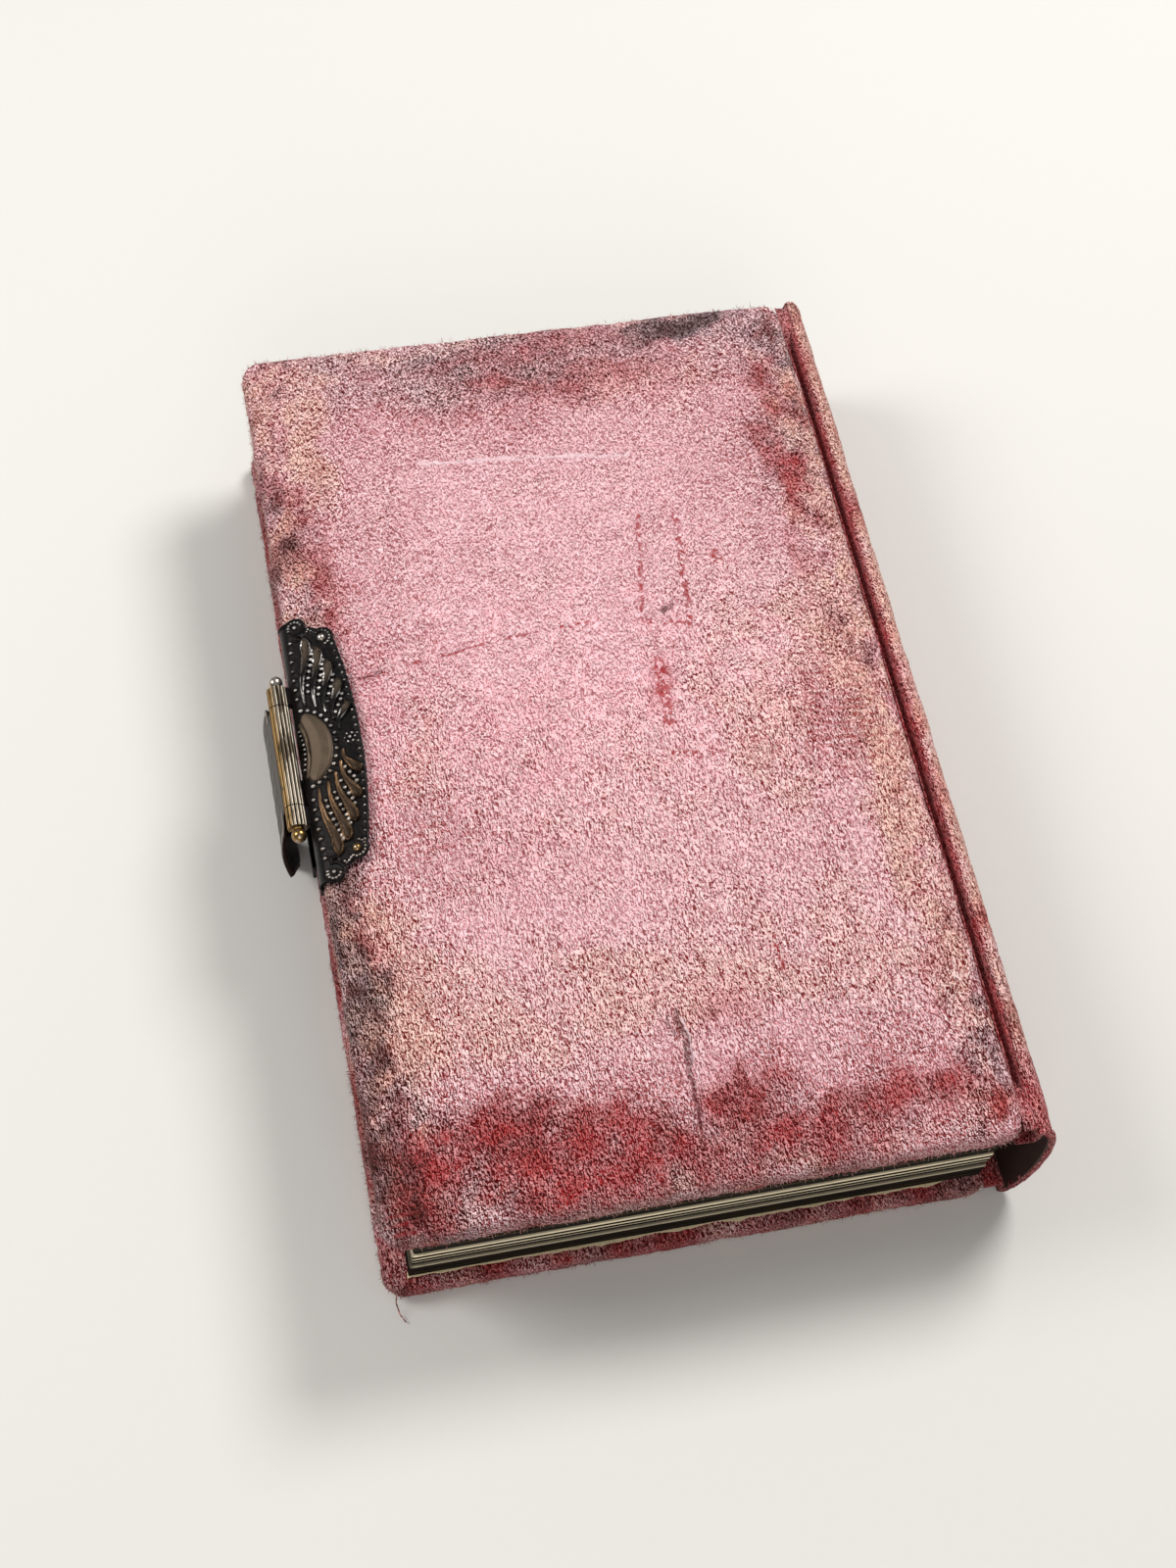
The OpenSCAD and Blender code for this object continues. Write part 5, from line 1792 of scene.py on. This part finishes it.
def cover_edge_roots(z_low, z_high, spacing, draw):
    """Places round a cover's side from which fibres stand outwards."""
    roots = []
    half_x, half_y = COVER_W / 2, COVER_L / 2
    corner = mm(sizes().corner)
    count = int(2 * (COVER_W + COVER_L) / spacing)
    for _ in range(count):
        t = draw.uniform(0, 2 * (COVER_W + COVER_L))
        z = draw.uniform(z_low, z_high)
        if t < 2 * COVER_W:
            x, y = (t % COVER_W) - half_x, half_y if t < COVER_W else -half_y
            way = (0, math.copysign(1, y), 0.35)
        else:
            t -= 2 * COVER_W
            x, y = half_x if t < COVER_L else -half_x, (t % COVER_L) - half_y
            way = (math.copysign(1, x), 0, 0.35)
        if abs(x) > half_x - corner and abs(y) > half_y - corner:
            a = draw.uniform(0, math.pi / 2)
            way = (math.copysign(math.cos(a), x), math.copysign(math.sin(a), y), 0.3)
            x = math.copysign(half_x - corner + corner * math.cos(a), x)
            y = math.copysign(half_y - corner + corner * math.sin(a), y)
        if x < -half_x + 1 and abs(y - CLASP_Y) < PLATE_HALF + 1:
            continue
        if x > half_x - 1:
            continue
        roots.append(((x, y, z), way))
    return roots


# Finishes of the frame's own nodes

def finish_nodes():
    """Gives every shown node of the frame its material."""
    board = finish_named("pasteboard", paper_finish, "pasteboard", colour("board"), colour("leaf_edge"))
    end_paper = finish_named("cream_endpaper", paper_finish, "cream_endpaper", colour("card"),
                             colour("board"), 18.0, 0.6, browned=True)
    lining = finish_named("rust_card", paper_finish, "rust_card", colour("lining"),
                          colour("leaf_edge"), 6.0, 0.7, 0.12)
    cloth = finish_named("brown_lining", woven_finish, "brown_lining", colour("lining"),
                         colour("leaf_edge"))
    black = finish_named("black_clasp", metal_finish, "black_clasp", colour("gunmetal"),
                         colour("worn_metal"))
    bright = finish_named("bright_balls", ball_finish)
    chosen = {
        "back_board": board, "front_board": board, "back_endpaper": end_paper,
        "front_endpaper": end_paper, "spine_liner": lining, "block_lining": cloth,
        "catch_plate": black, "catch_nails": bright, "clasp_nails": bright,
    }
    for name, material in chosen.items():
        node = frame["nodes"][name]
        node.data.materials.clear()
        node.data.materials.append(material)


# The stage

CAMERA_PLACE = (-0.084995, -0.2451, 0.48768)
CAMERA_TURN = (28.184356, -3.990796, -11.446771)
CAMERA_LENS = 51.0165
LAMPS = [
    # name, place, size, watts
    ("key", (0.55, 0.45, 0.95), 0.45, 10.5),
    ("side", (-0.75, 0.25, 0.75), 0.5, 6.0),
    ("front", (-0.1, -0.9, 0.6), 0.7, 2.8),
]
WORLD_STRENGTH = 0.36


def make_stage():
    """Floor, soft lamps, pale world and the camera at the photograph's angle."""
    clear_selection()
    bpy.ops.mesh.primitive_plane_add(size=8, location=(0, 0, -0.0002))
    floor = bpy.context.object
    floor.name = floor.data.name = "floor"
    f = Finish("pale_floor", roughness=0.9, Emission_Strength=1.0)
    grain = f.grain(3, 3.0, 0.5)
    x, y, _ = f.axes(f.place)
    far = ((x * x + y * y) ** 0.5).rise(0.45, 1.6)
    f.feed(Base_Color=f.mix(grain * 0.06, colour("floor"), (0.5, 0.49, 0.47, 1.0)),
           Emission_Color=f.mix(far, (0.0, 0.0, 0.0, 1.0), (0.66, 0.65, 0.63, 1.0)))
    floor.data.materials.append(f.material)
    for name, place, size, watts in LAMPS:
        clear_selection()
        bpy.ops.object.light_add(type="AREA", location=place)
        lamp = bpy.context.object
        lamp.name = name
        lamp.data.shape = "DISK"
        lamp.data.size = size
        lamp.data.energy = watts
        lamp.rotation_euler = Vector(place).to_track_quat("Z", "Y").to_euler()
    make_world()
    clear_selection()
    bpy.ops.object.camera_add(location=CAMERA_PLACE,
                              rotation=[math.radians(a) for a in CAMERA_TURN])
    camera = bpy.context.object
    camera.data.lens = CAMERA_LENS
    camera.data.sensor_fit = "AUTO"
    camera.data.sensor_width = 36
    camera.data.clip_start = 0.01
    bpy.context.scene.camera = camera
    bpy.context.scene.view_settings.view_transform = "Standard"


def make_world():
    """A pale surround that lights softly, that the camera sees as white and that metal sees dim."""
    world = bpy.data.worlds.new("studio")
    world.use_nodes = True
    bpy.context.scene.world = world
    nodes, links = world.node_tree.nodes, world.node_tree.links
    background = nodes["Background"]
    background.inputs["Color"].default_value = (1.0, 0.985, 0.965, 1.0)
    path = nodes.new("ShaderNodeLightPath")
    source = WORLD_STRENGTH
    for ray, strength in (("Is Glossy Ray", 0.2), ("Is Camera Ray", 0.9)):
        level = nodes.new("ShaderNodeMix")
        if isinstance(source, float):
            level.inputs["A"].default_value = source
        else:
            links.new(source, level.inputs["A"])
        level.inputs["B"].default_value = strength
        links.new(path.outputs[ray], level.inputs["Factor"])
        source = level.outputs["Result"]
    links.new(source, background.inputs["Strength"])


# Operators

class ALBUM_OT_front_cover(bpy.types.Operator):
    """Make the wadding and the velvet of the front cover"""
    bl_idname = "album.front_cover"
    bl_label = "Front Cover"

    def execute(self, context):
        make_padding()
        make_front_velvet()
        return {"FINISHED"}


class ALBUM_OT_back_cover(bpy.types.Operator):
    """Make the velvet of the back cover"""
    bl_idname = "album.back_cover"
    bl_label = "Back Cover"

    def execute(self, context):
        make_back_velvet()
        return {"FINISHED"}


class ALBUM_OT_spine(bpy.types.Operator):
    """Make the velvet of the spine and of its two grooves"""
    bl_idname = "album.spine"
    bl_label = "Spine"

    def execute(self, context):
        make_spine_velvet()
        make_joint_velvet("front_joint_velvet", 1)
        make_joint_velvet("back_joint_velvet", -1)
        return {"FINISHED"}


class ALBUM_OT_leaves(bpy.types.Operator):
    """Make the card leaves and the loose sheet under them"""
    bl_idname = "album.leaves"
    bl_label = "Leaves"

    def execute(self, context):
        make_leaves()
        make_loose_sheet()
        return {"FINISHED"}


class ALBUM_OT_clasp(bpy.types.Operator):
    """Make the stamped plate, the hinge pin and the hasp"""
    bl_idname = "album.clasp"
    bl_label = "Clasp"

    def execute(self, context):
        make_clasp_plate()
        make_pin()
        make_hasp()
        return {"FINISHED"}


class ALBUM_OT_edge_pile(bpy.types.Operator):
    """Make the loose fibres along the velvet's worn edges"""
    bl_idname = "album.edge_pile"
    bl_label = "Edge Pile"

    def execute(self, context):
        draw = random.Random(41)
        front = cover_edge_roots(FRONT_Z + 0.4, FRONT_Z + 5.0, 0.2, draw)
        make_edge_pile("front_edge_pile", "front_cover", front, 42, 0.9)
        back = cover_edge_roots(1.2, BACK_HIGH.z - 0.4, 0.3, draw)
        make_edge_pile("back_edge_pile", "back_cover", back, 43, 0.9)
        return {"FINISHED"}


class ALBUM_OT_finishes(bpy.types.Operator):
    """Give the frame's own nodes their materials"""
    bl_idname = "album.finishes"
    bl_label = "Finishes"

    def execute(self, context):
        finish_nodes()
        return {"FINISHED"}


class ALBUM_OT_stage(bpy.types.Operator):
    """Make the floor, the lamps and the camera"""
    bl_idname = "album.stage"
    bl_label = "Stage"

    def execute(self, context):
        make_stage()
        return {"FINISHED"}


STEPS = (ALBUM_OT_front_cover, ALBUM_OT_back_cover, ALBUM_OT_spine, ALBUM_OT_leaves,
         ALBUM_OT_clasp, ALBUM_OT_edge_pile, ALBUM_OT_finishes, ALBUM_OT_stage)


class ALBUM_PT_panel(bpy.types.Panel):
    """Lists the album's sizes and the steps that make it"""
    bl_idname = "ALBUM_PT_panel"
    bl_label = "Album"
    bl_space_type = "VIEW_3D"
    bl_region_type = "UI"
    bl_category = "Album"

    def draw(self, context):
        for settings in (context.scene.album_sizes, context.scene.album_colours):
            column = self.layout.column()
            for name in settings.__annotations__:
                column.prop(settings, name)
        for step in STEPS:
            self.layout.operator(step.bl_idname)


CLASSES = (AlbumSizes, AlbumColours, *STEPS, ALBUM_PT_panel)


def register():
    for cls in CLASSES:
        bpy.utils.register_class(cls)
    bpy.types.Scene.album_sizes = PointerProperty(type=AlbumSizes)
    bpy.types.Scene.album_colours = PointerProperty(type=AlbumColours)


def unregister():
    del bpy.types.Scene.album_colours
    del bpy.types.Scene.album_sizes
    for cls in reversed(CLASSES):
        bpy.utils.unregister_class(cls)


def main():
    register()
    bpy.ops.album.front_cover()
    bpy.ops.album.back_cover()
    bpy.ops.album.spine()
    bpy.ops.album.leaves()
    bpy.ops.album.clasp()
    bpy.ops.album.edge_pile()
    bpy.ops.album.finishes()
    bpy.ops.album.stage()


if __name__ == "__main__":
    main()
